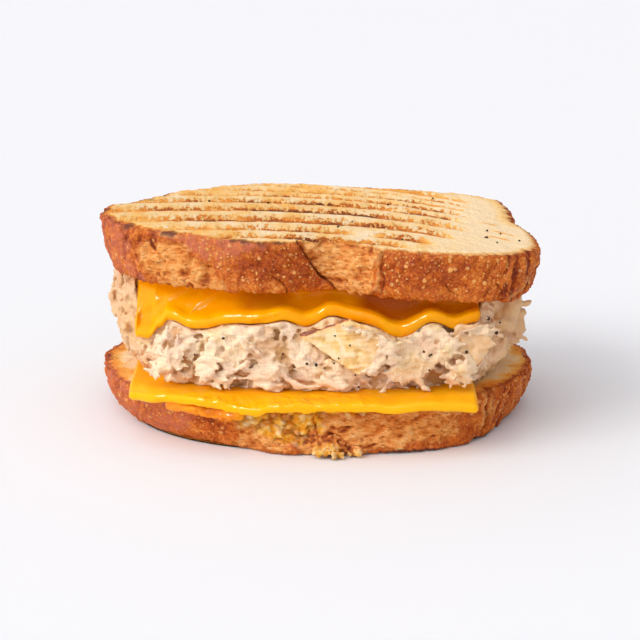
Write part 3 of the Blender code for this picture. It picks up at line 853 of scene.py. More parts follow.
def make_bread_lower(material):
    faces, flat, out, up, jags, layers = slice_points(LOWER, LOWER_CRUST, *LOWER_MESH)
    x, y = flat.T
    points = spread(x, y)
    gap, mark = cells(points, (1.7, 1.7, 1), 60)
    pore = smooth(0.45, 0.12, gap) * smooth(0.4, 0.7, mark)
    uneven = 0.3 * pore + 0.15 * (1 + noise(points, 3, 61, 2))
    height = up * THICK - uneven * (up == 1)
    height += 0.5 * jags * up**8 * 0.6 + 0.7 * np.abs(jags) * (1 - up) ** 6
    height -= 0.5 * smooth(0.98, 1.0, out) * (up == 1)
    rim = smooth(0.86, 1.0, out + 0.06 * noise(points, 5, 62, 2))
    # The pores darken a little: painted shade in them.
    top = 0.06 + 0.50 * rim + 0.12 * pore
    # The underside has faint bars from the grill.
    bars = smooth(0.1, 0.5, np.sin(y * 0.68 + noise(points, 14, 63)))
    under = 0.35 + 0.25 * bars + 0.2 * noise(points, 3, 64, 2)
    layers["toast"] = np.where(up == 1, top, np.where(up == 0, under, 0.5))
    mesh = make_mesh("lower_slice", spread(x, y, height), faces, layers)
    return add_piece("bread_base_slice", mesh, material, "bread", "bread_lower")


# Shreds torn out of the lower crust near its middle, as the x where each leaves and ends.
SHREDS = ((-2.0, -0.5), (0.0, 2.0), (1.5, 4.0), (3.5, 5.5), (5.0, 8.0), (6.5, 10.5))


def make_torn_tongue(material):
    """The tongue of crumb that hangs out of the tear in the lower crust, down to the table."""
    rng = np.random.default_rng(12)
    front = front_of(LOWER, 2.0)
    centres, radii = [], []
    for first, last in SHREDS:
        length = rng.uniform(4.5, 6.0) * (1 if last < 6 else 0.6)
        for t in np.linspace(0, 1, 9):
            y = front + 2.5 - (length + 1.5) * t + rng.uniform(-0.3, 0.3)
            z = lerp(5.2, 1.3, smooth(0, 0.9, t)) + rng.uniform(-0.4, 0.4)
            centres.append((lerp(first, last, t), y, z))
            radii.append(lerp(1.7, 0.9, t) * rng.uniform(0.8, 1.2))
    mesh = fuse("tongue", *balls(centres, np.array(radii)[:, None])[:2], 0.3)
    points = mesh_points(mesh)
    rough = 0.7 * noise(points, 1.5, 120, 3) + 0.5 * noise(points @ TILT, (2.6, 1, 0.7), 121, 2)
    points = pushed_out(mesh, points, rough)
    points[:, 2] = np.maximum(points[:, 2], 0.1)
    set_points(mesh, points)
    everywhere = np.ones(len(points))
    # Painted shade where the crumb lies low.
    painted_shade = np.clip(0.25 - 0.6 * rough, 0, 1)
    wet = 0.8 * smooth(front - 1.0, front - 3.5, points[:, 1])
    set_layers(mesh, {"torn": everywhere, "crust": everywhere, "painted_shade": painted_shade, "soaked": wet})
    return add_piece("torn_crust_tongue", mesh, material, "bread")


def bread_material():
    s = Shader("toasted_bread")
    painted_shade, torn_place, speckled = s.layer("painted_shade"), s.layer("torn"), s.layer("speckled")
    grit = s.noise(0.30, 3, 0.7)
    fine = s.noise(0.75, 4, 0.7)
    wide = s.noise(3.4, 4, 0.6)
    fibre = s.noise(0.9, 4, 0.7, (0.35, 0.7, 1.0))
    # The grill's browning climbs behind the near edge of each line in spikes.
    behind = s.math("FRACT", s.vary(s.layer("row"), s.noise(1.5, 3, 0.65), 0.22))
    reach = s.vary(0.50, s.noise(1.3, 4, 0.68, (1.0, 0.30, 1.0)), 2.4)
    spikes = s.grey_ramp(s.math("SUBTRACT", reach, behind), -0.04, 0.22)
    grill = s.times(s.times(spikes, s.gain(0.76, behind, -0.45)), s.layer("grill"))
    toast = s.math("MAXIMUM", s.layer("toast"), grill)
    toast = s.vary(toast, fine, 0.32, grit, 0.22, wide, 0.12)
    toast = s.vary(toast, fine, s.times(grill, 0.9), grit, s.times(grill, 0.6))
    crumb = s.ramp(
        toast,
        (0.0, 254, 226, 188),
        (0.18, 254, 215, 154),
        (0.36, 253, 188, 92),
        (0.58, 240, 148, 52),
        (0.80, 196, 96, 26),
        (1.0, 104, 46, 18),
    )
    tone = s.vary(s.gain(0.40, s.layer("dark"), 0.16), wide, 1.0, fine, 1.3, grit, 0.9)
    # The crust darkens in its creases: painted shade.
    crust = s.ramp(
        s.gain(tone, s.layer("crease_shade"), 0.40),
        (0.0, 240, 160, 76),
        (0.25, 216, 116, 34),
        (0.50, 182, 80, 14),
        (0.75, 146, 54, 6),
        (1.0, 94, 30, 4),
    )
    # Painted sheen: a pinkish glossy tint over the crust on the side towards the light.
    painted_sheen = s.times(s.layer("painted_sheen"), s.grey_ramp(wide, 0.30, 0.60))
    crust = s.cover(crust, painted_sheen, 0.55, 214, 122, 92)
    small = s.times(s.dots(0.95, 0.40), s.gain(0.25, speckled, 0.70))
    large = s.times(s.dots(2.3, 0.34), s.gain(0.10, speckled, 0.80))
    blisters = s.math("MAXIMUM", small, large)
    crust = s.mix(blisters, crust, srgb(244, 172, 92))
    pale = s.grey_ramp(s.vary(s.layer("pale"), fine, 0.5), 0.25, 1.0)
    crust = s.mix(pale, crust, srgb(240, 178, 104))
    # The torn crumb darkens with depth: painted shade in its low flakes, hollows and cracks.
    torn = s.ramp(
        s.math("ADD", s.vary(painted_shade, fibre, 1.1, wide, 0.4, grit, 0.5), 0.27),
        (0.0, 255, 206, 140),
        (0.25, 244, 168, 88),
        (0.50, 226, 134, 56),
        (0.78, 184, 90, 26),
        (1.0, 124, 50, 10),
    )
    # Dark pits painted on the torn crumb: painted shade of small holes.
    pit_shade = s.grey_ramp(s.noise(0.75, 2, 0.5, (0.38, 1.0, 1.2)), 0.56, 0.66)
    torn = s.cover(torn, pit_shade, 0.62, 160, 70, 14)
    open_crumb = s.math("MAXIMUM", torn_place, s.times(s.layer("frayed"), 0.55))
    crust = s.mix(open_crumb, crust, torn)
    # Painted shade: dark brown in the deepest cracks and hollows.
    crust = s.mix(s.grey_ramp(painted_shade, 0.45, 1.5), crust, srgb(96, 34, 8))
    crust = s.cover(crust, s.layer("burnt"), 0.85, 78, 36, 34)
    # The soaked crumb darkens with depth too: painted shade.
    wet = s.ramp(
        s.gain(s.vary(s.noise(1.8, 4, 0.65), fibre, 0.7), painted_shade, -0.35),
        (0.04, 210, 112, 22),
        (0.20, 250, 156, 30),
        (0.32, 255, 184, 40),
        (0.43, 255, 208, 108),
        (0.55, 255, 224, 166),
    )
    crust = s.mix(s.times(s.layer("soaked"), 0.9), crust, wet)
    height = s.gain(s.noise(0.9, 4, 0.65), torn_place, s.times(fibre, 1.4))
    height = s.gain(s.gain(height, blisters, 0.5), grill, -0.8)
    skin = s.bump(grit, 0.7, 0.16, s.bump(height, 1.0, 0.45))
    rough = s.gain(s.gain(0.82, s.layer("crust"), -0.34), torn_place, 0.14)
    return s.finish(
        base_color=s.mix(s.layer("crust"), crumb, crust),
        roughness=rough,
        normal=skin,
        specular_ior_level=0.18,
    )


# ---------------------------------------------------------------- the cheese

SLOPE = 9.0  # how far back from its hem the upper cheese leaves the bread
LEAN = SLOPE - 1.2  # how far of that it comes forward again before the hem's swelling
SLACK = 0.2  # between the upper cheese and the bread, beyond the gap
HEM_ROUNDING = 2.4  # how far each way the upper hem's line is averaged
# How far each hem hangs, and how far forward the lower sheet reaches, at each x.
UPPER_HEM = (
    (-50.5, 11.0),
    (-48.8, 14.4),
    (-46.4, 14.6),
    (-43.8, 10.6),
    (-41.2, 8.0),
    (-33.5, 9.5),
    (-24.0, 7.2),
    (-17.0, 7.0),
    (-9.0, 5.7),
    (-3.0, 7.6),
    (2.0, 4.4),
    (8.0, 5.4),
    (15.0, 6.2),
    (21.0, 8.6),
    (31.0, 4.0),
    (35.5, 6.1),
    (40.0, 5.0),
    (43.5, 3.6),
)
LOWER_EDGE = (
    *((-52.5, 36.0), (-44.0, 41.0), (-30.0, 46.2)),
    *((-10.0, 49.4), (20.0, 50.5), (42.5, 48.0)),
)
LOWER_HEM = (
    (-52.5, 1.6),
    (-40.0, 0.5),
    (-33.0, 0.4),
    (-28.0, 0.8),
    (-22.0, 1.9),
    (-18.0, 2.0),
    (-13.0, 0.8),
    (-6.0, 0.4),
    (30.0, 0.4),
    (42.5, 1.0),
)


def read_line(line, x):
    """Smooth reading between the points of a line, as in the source."""
    xs = np.array([point[0] for point in line], float)
    values = np.array([point[1] for point in line], float)
    i = np.clip(np.searchsorted(xs, x) - 1, 0, len(xs) - 2)
    return lerp(values[i], values[i + 1], smooth(xs[i], xs[i + 1], x))


def hem_drop(x):
    """How far the upper cheese hangs at x: its line, rounded off except at its left tongue."""
    end = UPPER_CHEESE_X[1]
    steps = np.linspace(-HEM_ROUNDING, HEM_ROUNDING, 7)
    rounded = np.mean([read_line(UPPER_HEM, np.minimum(x + step, end)) for step in steps], axis=0)
    share = smooth(-40, -34, x) * smooth(end, end - 3, x)
    return lerp(read_line(UPPER_HEM, x), 1.15 * rounded - 0.9, share)


def front_of(shape, x):
    """How far forward a slice's outline reaches at x."""
    angle = np.linspace(np.pi, 2 * np.pi, 4001)
    line = outline_at(shape, angle)
    return np.interp(x, line[:, 0], line[:, 1])


# How much painted shade darkens the upper cheese under the bread, at each x.
POCKET_SHADE = (
    *((-60, 0.12), (-24, 0.2), (-19, 0.65), (-10, 0.65), (-6, 0.3)),
    *((8, 0.3), (13, 1.0), (24, 0.95), (31, 0.6), (44, 0.5)),
)


def pocket_at(x):
    """How far the upper cheese sinks in under the bread before it comes forward to its hem."""
    return smooth(-22, 4, x)


def hem_hang(drop):
    """How far the middle of the upper cheese falls on its way to the hem."""
    return np.maximum(drop - SHEET / 2 - SLACK, 1.6)


def hem_fall(v, pocket):
    """The share of that fall at a share v of the way from the bread to the hem."""
    even = 0.35 * v + 0.65 * smooth(-0.35, 1.0, v)
    start = 0.65 * smooth(-0.35, 1.0, 0.0)
    return lerp((even - start) / (1 - start), 1 - (1 - v) ** 2, pocket)


def hem_lean(x):
    """The power by which the upper cheese comes forward."""
    lobe = smooth(9, 13, read_line(UPPER_HEM, x))
    return lerp(1.1 - 0.4 * lobe, 2.0, pocket_at(x))


def hem_front(x):
    """How far forward the hem hangs at x."""
    at, width, dent = UPPER["burst"]
    return front_of(UPPER, x) - dent / 2 * bump(x, at, width) + 1.0


def even_columns(low, high, count, rounding):
    """Places across a sheet, closer together at its two rounded ends."""
    turn = np.linspace(0, np.pi / 2, 7)
    ends = rounding * (1 - np.cos(turn))
    inner = np.linspace(low + rounding, high - rounding, count)[1:-1]
    return np.concatenate([low + ends, inner, (high - ends)[::-1]])


def sheet_skin(x, y, z, half, rounding, squareness):
    """Points (columns, round, 3) and faces of a closed sheet of the given half thickness.

    y and z of (columns, rows) are its middle surface, whose last row is its hem.
    """
    ahead = unit_length(np.stack([np.gradient(y, axis=1), np.gradient(z, axis=1)], -1))
    across = np.stack([ahead[..., 1], -ahead[..., 0]], -1)
    share = np.clip(np.minimum(x - x[0], x[-1] - x) / rounding, 0, 1)
    full = np.maximum(0.12, 1 - (1 - share) ** (2 / squareness)) ** (squareness / 2 + 0.1)
    half = half * full[:, None]
    middle = np.stack([y, z], -1)
    first = middle + across * half[..., None]
    last = middle - across * half[..., None]
    curve = []
    for turn in np.linspace(0, np.pi, 14)[1:-1]:
        c, s = np.cos(turn), np.sin(turn)
        side = np.sign(c) * abs(c) ** squareness
        forward = abs(s) ** squareness * 0.8
        curve.append(middle[:, -1] + half[:, -1:] * (across[:, -1] * side + ahead[:, -1] * forward))
    loop = np.concatenate([first, np.stack(curve, 1), last[:, ::-1]], 1)
    columns, length = loop.shape[:2]
    points = np.concatenate([np.broadcast_to(x[:, None, None], (columns, length, 1)), loop], 2)
    grid = np.arange(columns * length).reshape(columns, length)
    faces = [quads(np.concatenate([grid, grid[:, :1]], 1))]
    for end, way in ((grid[0], 1), (grid[-1], -1)):
        cap = quads(np.stack([end[: length // 2], end[::-1][: length // 2]]))
        faces.append(cap[:, ::way])
    return points, closed_up(points.reshape(-1, 3), np.concatenate(faces))


def closed_up(points, faces):
    """The faces turned so that they point out."""
    a, b, c = (points[faces[:, i]] for i in range(3))
    volume = np.einsum("ij,ij->i", a, np.cross(b, c)).sum()
    return faces if volume > 0 else faces[:, ::-1]


# Folds in the upper cheese: height, and line as (x, z).
CHEESE_FOLDS = (
    (0.55, ((-49.0, 35.0), (-44.0, 38.5), (-36.5, 41.8))),
    (0.45, ((-33.0, 38.0), (-27.0, 42.0))),
    (0.45, ((-16.0, 37.0), (-8.0, 39.5), (-3.0, 41.5))),
)


def make_cheese_upper(material):
    x = even_columns(*UPPER_CHEESE_X, 330, 1.2)
    pocket = pocket_at(x)
    drop = hem_drop(x) + 0.25 * noise(spread(x), 3, 70)
    bend = hem_front(x) + SLOPE
    rows_back = np.linspace(0, 1, 9)[:-1]
    y_back = lerp(UPPER_CHEESE_BACK, bend[:, None], rows_back)
    z_back = lid_height(x[:, None], y_back) - GAP - SLACK - SHEET / 2
    # The sheet leans out as it falls and swells at the hem.
    v = np.linspace(0, 1, 46)
    y_hang = bend[:, None] - (v ** hem_lean(x)[:, None] * LEAN + 0.6 * bump(v, 0.94, 0.12))
    z_hang = (lid_height(x, bend) - GAP - SLACK - SHEET / 2)[:, None]
    z_hang = z_hang - hem_hang(drop)[:, None] * hem_fall(v, pocket[:, None])
    y = np.concatenate([y_back, y_hang], 1)
    z = np.concatenate([z_back, z_hang], 1)
    bead = np.concatenate([0 * rows_back, smooth(0.55, 0.92, v)])
    fuller = 0.65 + 0.35 * smooth(4.5, 8.0, drop) * pocket
    half = SHEET / 2 - 0.35 + bead * fuller[:, None]
    points, faces = sheet_skin(x, y, z, half, 1.2, 0.9)
    # Painted shade: its colour is darker where it sinks in under the bread, all over its inner
    # side, and a little more towards the right.
    shade_and_browning = np.concatenate([1 + 0 * rows_back, smooth(0.96, 0.55, v)])
    shade_and_browning = np.concatenate([shade_and_browning, np.zeros(points.shape[1] - 2 * len(shade_and_browning)), np.ones(len(shade_and_browning))])
    shade = np.interp(x, *np.array(POCKET_SHADE).T)
    painted_shade = np.maximum(shade_and_browning * shade[:, None], 0.22 * smooth(-4, 14, x)[:, None])
    points = points.reshape(-1, 3)
    wave = 0.30 * noise(points, (7, 7, 4), 71) + 0.10 * noise(points, 2.2, 72, 2)
    for height, line in CHEESE_FOLDS:
        gap, side = line_gap(points[:, 0], points[:, 2], line)
        wave += height * side * np.exp(-gap / 2.6) * smooth(0.0, 0.8, gap)
    points[:, 1] -= wave * smooth(-20, -36, points[:, 1])
    points[:, 0] -= 2.4 * smooth(36, 25, points[:, 2]) * smooth(-43, -50, points[:, 0])
    mesh = make_mesh("upper_cheese", points, faces, {"shade_and_browning": painted_shade.ravel()})
    return add_piece("cheese_hanging", mesh, material, "cheese", "cheese_upper")


def make_cheese_lower(material):
    x = even_columns(*LOWER_CHEESE_X, 300, 0.5)
    edge = (-read_line(LOWER_EDGE, x) + 0.25 * noise(spread(x), 12, 74))[:, None]
    share = np.concatenate([np.linspace(0, 0.85, 9)[:-1], np.linspace(0.85, 1, 26)])
    y = lerp(LOWER_CHEESE_BACK, edge, share)
    z = THICK + GAP + SHEET / 2 - read_line(LOWER_HEM, x)[:, None] * smooth(5.5, 0, y - edge) ** 1.6
    points, faces = sheet_skin(x, y, z, SHEET / 2 + 0 * y, 1.4, 0.78)
    inward, across = points[..., 1] - edge, points[..., 0]
    layers = {
        # Painted light: the cut edge is brighter yellow, as it faces the light.
        "cut": smooth(1.5, 0.2, inward),
        "dull": 1 - 0.8 * smooth(4.5, 1.5, inward) * smooth(14, 6, across),
        "melt": smooth(5.0, 2.0, inward) * smooth(14, 4, across),
    }
    layers = {key: values.ravel() for key, values in layers.items()}
    points = points.reshape(-1, 3)
    wave = 0.18 * noise(points, (9, 6, 9), 75, 2) + 0.05 * noise(points, 1.6, 76, 2)
    melted = smooth(-40, -30, points[:, 0]) * smooth(20, 8, points[:, 0])
    melted = melted * smooth(-40, -46, points[:, 1])
    wave += melted * (0.26 * noise(points, (2.2, 1.2, 2), 78, 2) + 0.14 * noise(points, 0.9, 73, 2))
    wave += 0.35 * noise(points, (5, 60, 60), 79, 2) * smooth(-40, -47, points[:, 1])
    points[:, 2] += wave * smooth(20, -30, points[:, 1])
    points[:, 1] -= 0.20 * noise(points, (9, 9, 2.5), 77) * smooth(-30, -38, points[:, 1])
    mesh = make_mesh("lower_cheese", points, faces, layers)
    return add_piece("cheese_flat", mesh, material, "cheese", "cheese_lower")


def balls(centres, radii, steps=(10, 14)):
    """Closed round lumps: their points and faces in one heap, and the points of one unit lump.

    Radii may differ along the three axes.
    """
    rows, round_steps = steps
    polar = np.linspace(0, np.pi, rows + 1)[1:-1]
    azimuth = np.arange(round_steps) * 2 * np.pi / round_steps
    axes = (
        np.outer(np.sin(polar), np.cos(azimuth)),
        np.outer(np.sin(polar), np.sin(azimuth)),
        np.outer(np.cos(polar), np.ones(round_steps)),
    )
    belt = np.stack(axes, -1).reshape(-1, 3)
    unit = np.concatenate([belt, [[0, 0, 1], [0, 0, -1]]])
    grid = np.arange(len(belt)).reshape(rows - 1, round_steps)
    ring = quads(np.concatenate([grid, grid[:, :1]], 1))
    top = np.stack([np.full(round_steps, len(belt)), grid[0], np.roll(grid[0], -1)], 1)
    base = np.stack([np.full(round_steps, len(belt) + 1), np.roll(grid[-1], -1), grid[-1]], 1)
    faces = np.concatenate([ring, top, base])
    centres = np.asarray(centres, float)
    radii = np.broadcast_to(np.asarray(radii, float).reshape(len(centres), -1), (len(centres), 3))
    points = centres[:, None] + unit[None] * radii[:, None]
    faces = faces[None] + (np.arange(len(centres)) * len(unit))[:, None, None]
    return points.reshape(-1, 3), faces.reshape(-1, 3), unit


# The lower edge of the melted run, as (x, z).
DRIP = ((-41.0, 12.6), (-37.0, 11.6), (-33.0, 10.7), (-29.0, 9.9), (-25.0, 9.4), (-22.0, 10.6))
DRIP_TOP = 11.8


def make_cheese_drip(material):
    """The second melted layer that has run down over the crust below the lower sheet."""
    rng = np.random.default_rng(21)
    xs = np.linspace(DRIP[0][0], DRIP[-1][0], 40)
    centres, radii = [], []
    for x, z in zip(xs, np.interp(xs, *np.array(DRIP).T)):
        front = front_of(LOWER, x) - 0.9
        for level in np.linspace(z + 1.2, DRIP_TOP, 4):
            radii.append(rng.uniform(1.3, 1.7) if level < z + 1.3 else rng.uniform(1.1, 1.4))
            centres.append((x, front + rng.uniform(-0.3, 0.3), level))
    mesh = fuse("drip", *balls(centres, np.array(radii)[:, None])[:2], 0.35)
    points = mesh_points(mesh)
    folds = 0.50 * noise(points, (3.2, 3.2, 1.3), 80, 2) + 0.16 * noise(points, 1.1, 81)
    points = pushed_out(mesh, points, folds)
    set_points(mesh, points)
    browned = (0.20 + 0.9 * noise(points, (4, 4, 1.8), 82, 2)) * smooth(-38, -31, points[:, 0])
    set_layers(mesh, {"shade_and_browning": np.clip(browned, 0, 0.6)})
    return add_piece("cheese_melted_drip", mesh, material, "cheese", "cheese_lower")


def cheese_material(name, colour, cloud):
    s = Shader(name)
    shade_and_browning = s.layer("shade_and_browning")
    base = s.mix(s.grey_ramp(s.noise(7.0, 3, 0.5), 0.3, 0.7), srgb(*colour), srgb(*cloud))
    # Painted shade on the upper cheese where it sinks in under the bread; on the melted run the
    # same layer is browning.
    base = s.cover(base, shade_and_browning, 0.92, 162, 68, 2)
    # Painted light: the lower sheet's cut edge is laid over in a brighter yellow.
    base = s.cover(base, s.layer("cut"), 0.75, 255, 186, 4)
    specks = s.grey_ramp(s.noise(0.7, 2, 0.5), 0.66, 0.74)
    base = s.cover(base, specks, 0.25, 255, 206, 90)
    skin = s.bump(s.noise(2.5, 3, 0.5), 0.18, 0.35)
    skin = s.bump(s.noise(0.5, 2, 0.6), 0.12, 0.05, skin)
    melted = s.times(s.noise(2.2, 1, 0.5, (0.5, 1.0, 1.0)), s.layer("melt"))
    skin = s.bump(melted, 0.5, 0.8, skin)
    rough = s.gain(0.06, s.noise(1.6, 3, 0.6), 0.12)
    rough = s.gain(s.gain(rough, shade_and_browning, 0.30), s.layer("dull"), 0.28)
    return s.finish(
        base_color=base,
        roughness=rough,
        normal=skin,
        specular_ior_level=0.16,
        subsurface_weight=0.2,
        subsurface_radius=(1.0, 0.45, 0.06),
        subsurface_scale=0.0016,
    )


# ---------------------------------------------------------------- the tuna

TUNA = {"right": 55.5, "left": 57.0, "front": 39.5, "back": 35.0}
HEAP_AXES = (55, 38)
HEAP_POWER = 2.6
CORE_INSET = 0.8
STRIP_STEPS = (9, 9)
TUNA_TRIANGLES = 190000


def heap_ring(angle):
    """Points of the heap's outline at half its height."""
    c, s = np.cos(angle), np.sin(angle)
    power = 2 / HEAP_POWER
    x = np.where(c >= 0, TUNA["right"], TUNA["left"]) * np.sign(c) * np.abs(c) ** power
    y = np.where(s >= 0, TUNA["back"], TUNA["front"]) * np.sign(s) * np.abs(s) ** power
    return np.stack([x, y], -1)


def heap_side(angle, share):
    """Points of the heap's side and the direction out of it, at shares of its height."""
    flat = heap_ring(angle)
    ahead = unit_length(heap_ring(angle + 0.01) - heap_ring(angle - 0.01))
    out = np.stack([ahead[..., 1], -ahead[..., 0], 0 * ahead[..., 0]], -1)
    top = lid_height(flat[..., 0], flat[..., 1]) - 1.0
    z = lerp(THICK + 1.0, top, share)
    x = flat[..., 0] + 5.0 * smooth(0.55, 0.0, share) * smooth(-36, -52, flat[..., 0])
    x = x - 4.5 * smooth(0.45, 0.0, share) * smooth(38, 52, flat[..., 0])
    points = np.stack([x, flat[..., 1], z], -1)
    listed = points.reshape(-1, 3)
    uneven = 1.7 * noise(listed, 8, 90, 2) + 0.6 * noise(listed, 3, 94)
    swell = 2.2 * np.sin(np.pi * np.clip(share, 0, 1)) + uneven.reshape(share.shape)
    return points + out * swell[..., None], out


def heap_core():
    """The solid middle of the heap, a little inside its side."""
    angle = np.arange(160) * 2 * np.pi / 160
    share = np.linspace(-0.1, 1.1, 14)
    grid_angle, grid_share = np.meshgrid(angle, share, indexing="ij")
    points, out = heap_side(grid_angle, grid_share)
    points = (points - out * CORE_INSET).reshape(-1, 3)
    grid = np.arange(len(points)).reshape(160, 14)
    faces = [quads(np.concatenate([grid, grid[:1]]))]
    ends = [points[grid[:, 0]].mean(0), points[grid[:, -1]].mean(0)]
    for number, (rim, way) in enumerate(((grid[:, 0], 1), (grid[:, -1], -1))):
        middle = np.full(160, len(points) + number)
        faces.append(np.stack([middle, np.roll(rim, -1), rim], 1)[:, ::way])
    points = np.concatenate([points, ends])
    return points, closed_up(points, np.concatenate(faces))


def heap_out(places):
    """The direction out of the heap, level, at each place."""
    return unit_length(places * (1 / HEAP_AXES[0] ** 2, 1 / HEAP_AXES[1] ** 2, 0))


def strips(rng, places, outs, lengths, widths, depths, tilt, lift, bend):
    """Tapering, bent strips of flesh laid on the heap as one pile of closed shapes."""
    count = len(places)
    _, faces, unit = balls(np.zeros((count, 3)), np.ones((count, 1)), STRIP_STEPS)
    aside, outward, t = unit.T
    vertical = np.array([0, 0, 1.0])
    level = unit_length(np.cross(vertical, outs))
    along = level * np.cos(tilt)[:, None] + vertical * np.sin(tilt)[:, None]
    along = unit_length(along + outs * lift[:, None])
    side = unit_length(np.cross(along, outs))
    up = np.cross(side, along)
    taper = 1 - rng.uniform(0.0, 0.55, (count, 1)) * (0.5 + 0.5 * t)
    lumps = 1 + 0.22 * np.sin(rng.uniform(3, 8, (count, 1)) * t + rng.uniform(0, 6, (count, 1)))
    bends = rng.uniform(-bend, bend, (count, 2)) * lengths[:, None]
    wide = aside * lumps * taper * widths[:, None] + bends[:, :1] * t * t
    thick = outward * lumps * taper * depths[:, None] + 0.5 * bends[:, 1:] * t * t
    made = places[:, None] + along[:, None] * (t * lengths[:, None] / 2)[..., None]
    made = made + side[:, None] * wide[..., None] + up[:, None] * thick[..., None]
    return made.reshape(-1, 3), faces


# Strips strewn all round the heap: how many, then the ranges of length, half width, depth as a
# share of the width and distance out in depths, the spread of tilt and the range of lift.
SCATTERED = (
    (800, (3, 7), (0.9, 1.7), (0.35, 0.6), (-0.9, 0.5), 0.8, (-0.1, 0.3)),
    (1700, (3, 7.5), (0.5, 0.9), (0.6, 0.9), (-0.6, 0.9), 0.8, (-0.15, 0.3)),
    (600, (2, 5), (0.35, 0.55), (0.8, 1.0), (0.0, 1.8), 0.9, (-0.4, 0.5)),
    (2600, (3, 6.5), (0.45, 0.75), (0.8, 1.0), (-3.2, -1.2), 0.9, (-0.1, 0.1)),
)


def scattered_strips(rng, count, length, width, depth, out, tilt, lift):
    angle = rng.uniform(0, 2 * np.pi, count)
    places, outs = heap_side(angle, rng.uniform(0.0, 1.0, count))
    turns = rng.normal(0.2, tilt, count)
    lifts = rng.uniform(*lift, count)
    lengths = rng.uniform(*length, count) * rng.uniform(0.6, 1.1, count)
    widths = rng.uniform(*width, count)
    depths = widths * rng.uniform(*depth, count)
    places = places + outs * (rng.uniform(*out, count) * depths)[:, None]
    turns = turns + rng.normal(0, 0.12, count)
    return strips(rng, places, outs, lengths, widths, depths, turns, lifts, 0.2)


# Strips that the eye picks out: middle x and z, how far forward, length, half width, half depth,
# tilt in radians and how much they stand off the heap.
SHOWN_STRIPS = (
    (17.5, 17.5, -42.5, 8.0, 1.1, 0.8, 1.2, 0.20),
    (27.5, 18.5, -42.0, 7.5, 0.9, 0.7, -0.9, 0.25),
    (36.0, 19.0, -41.0, 5.0, 0.8, 0.6, 1.3, 0.10),
    (-24.0, 22.0, -42.0, 14.0, 1.3, 0.9, 0.45, 0.10),
    (-15.0, 21.0, -42.5, 12.0, 1.2, 0.8, 0.35, 0.05),
    (-30.0, 25.5, -41.5, 10.0, 1.1, 0.8, 0.15, 0.05),
    (-6.0, 18.5, -43.0, 10.0, 1.3, 0.9, -0.35, 0.05),
    (4.0, 19.0, -43.5, 9.0, 1.5, 1.0, -0.25, 0.10),
    (12.0, 38.5, -39.5, 9.0, 1.6, 1.1, 0.15, 0.05),
    (3.0, 37.5, -38.5, 9.0, 1.3, 0.9, 0.35, 0.05),
    (21.0, 36.5, -40.5, 6.0, 1.5, 1.0, -0.1, 0.05),
    (17.0, 33.0, -44.3, 9.0, 1.3, 0.9, 1.15, 0.05),
    (18.5, 30.0, -44.0, 8.0, 1.6, 1.0, -1.0, 0.05),
    (15.0, 26.0, -44.3, 7.0, 1.2, 0.8, 1.0, 0.05),
    (10.0, 35.8, -43.6, 8.0, 1.2, 0.8, -0.15, 0.05),
    (4.0, 24.5, -43.8, 6.0, 1.3, 0.8, -0.6, 0.05),
    (34.5, 26.5, -41.6, 6.0, 1.4, 0.9, 0.6, 0.05),
    (53.0, 33.0, -22.0, 13.0, 4.6, 3.6, 1.0, 0.10),
    (55.0, 28.0, -18.0, 11.0, 3.6, 3.0, 1.3, 0.10),
    (50.0, 24.0, -29.0, 9.0, 2.6, 2.0, 0.9, 0.10),
    (57.0, 35.0, -20.0, 6.0, 1.2, 1.0, 0.1, 0.60),
    (56.5, 25.5, -21.0, 5.0, 1.0, 0.8, -0.5, 0.60),
    (-53.0, 30.0, -20.0, 9.0, 2.2, 1.8, 1.1, 0.10),
    (-55.0, 36.0, -14.0, 7.0, 1.3, 1.0, 0.3, 0.50),
    (-54.5, 41.0, -10.0, 6.0, 1.2, 1.0, -0.3, 0.50),
)


def shown_strips(rng):
    rows = np.array(SHOWN_STRIPS)
    places = rows[:, [0, 2, 1]]
    return strips(rng, places, heap_out(places), *rows[:, 3:].T, 0.15)


# Clumps of flakes that stand out of the front: middle x and z, how far forward, radius, count.
CLUMPS = (
    (22.5, 31.5, -41.8, 4.5, 40),
    (28.0, 26.5, -41.6, 5.0, 44),
    (31.0, 33.0, -40.6, 4.0, 26),
    (22.0, 23.5, -42.0, 4.5, 34),
    (14.0, 37.5, -41.0, 3.5, 12),
    (3.0, 37.8, -39.5, 3.5, 10),
    (43.5, 33.0, -39.5, 4.0, 16),
    (38.0, 22.0, -41.0, 4.0, 16),
    (6.0, 20.5, -41.2, 4.5, 34),
    (-4.5, 25.5, -40.8, 4.8, 34),
    (-12.0, 31.0, -40.8, 5.0, 34),
    (-14.0, 22.0, -41.2, 5.5, 34),
    (-26.0, 30.0, -40.2, 5.5, 34),
    (-28.0, 22.0, -40.3, 5.5, 34),
    (-39.0, 28.0, -38.3, 5.5, 34),
    (-42.0, 21.0, -37.0, 4.0, 12),
    (8.5, 37.3, -45.0, 2.2, 16),
    (13.5, 36.0, -45.0, 2.2, 12),
    (18.0, 32.0, -45.0, 2.4, 16),
    (18.4, 27.6, -44.8, 2.4, 14),
    (14.5, 23.8, -44.2, 1.8, 8),
    (35.0, 29.0, -42.0, 2.8, 18),
    (39.0, 24.0, -41.8, 2.6, 14),
    (39.0, 34.6, -41.4, 2.6, 14),
)


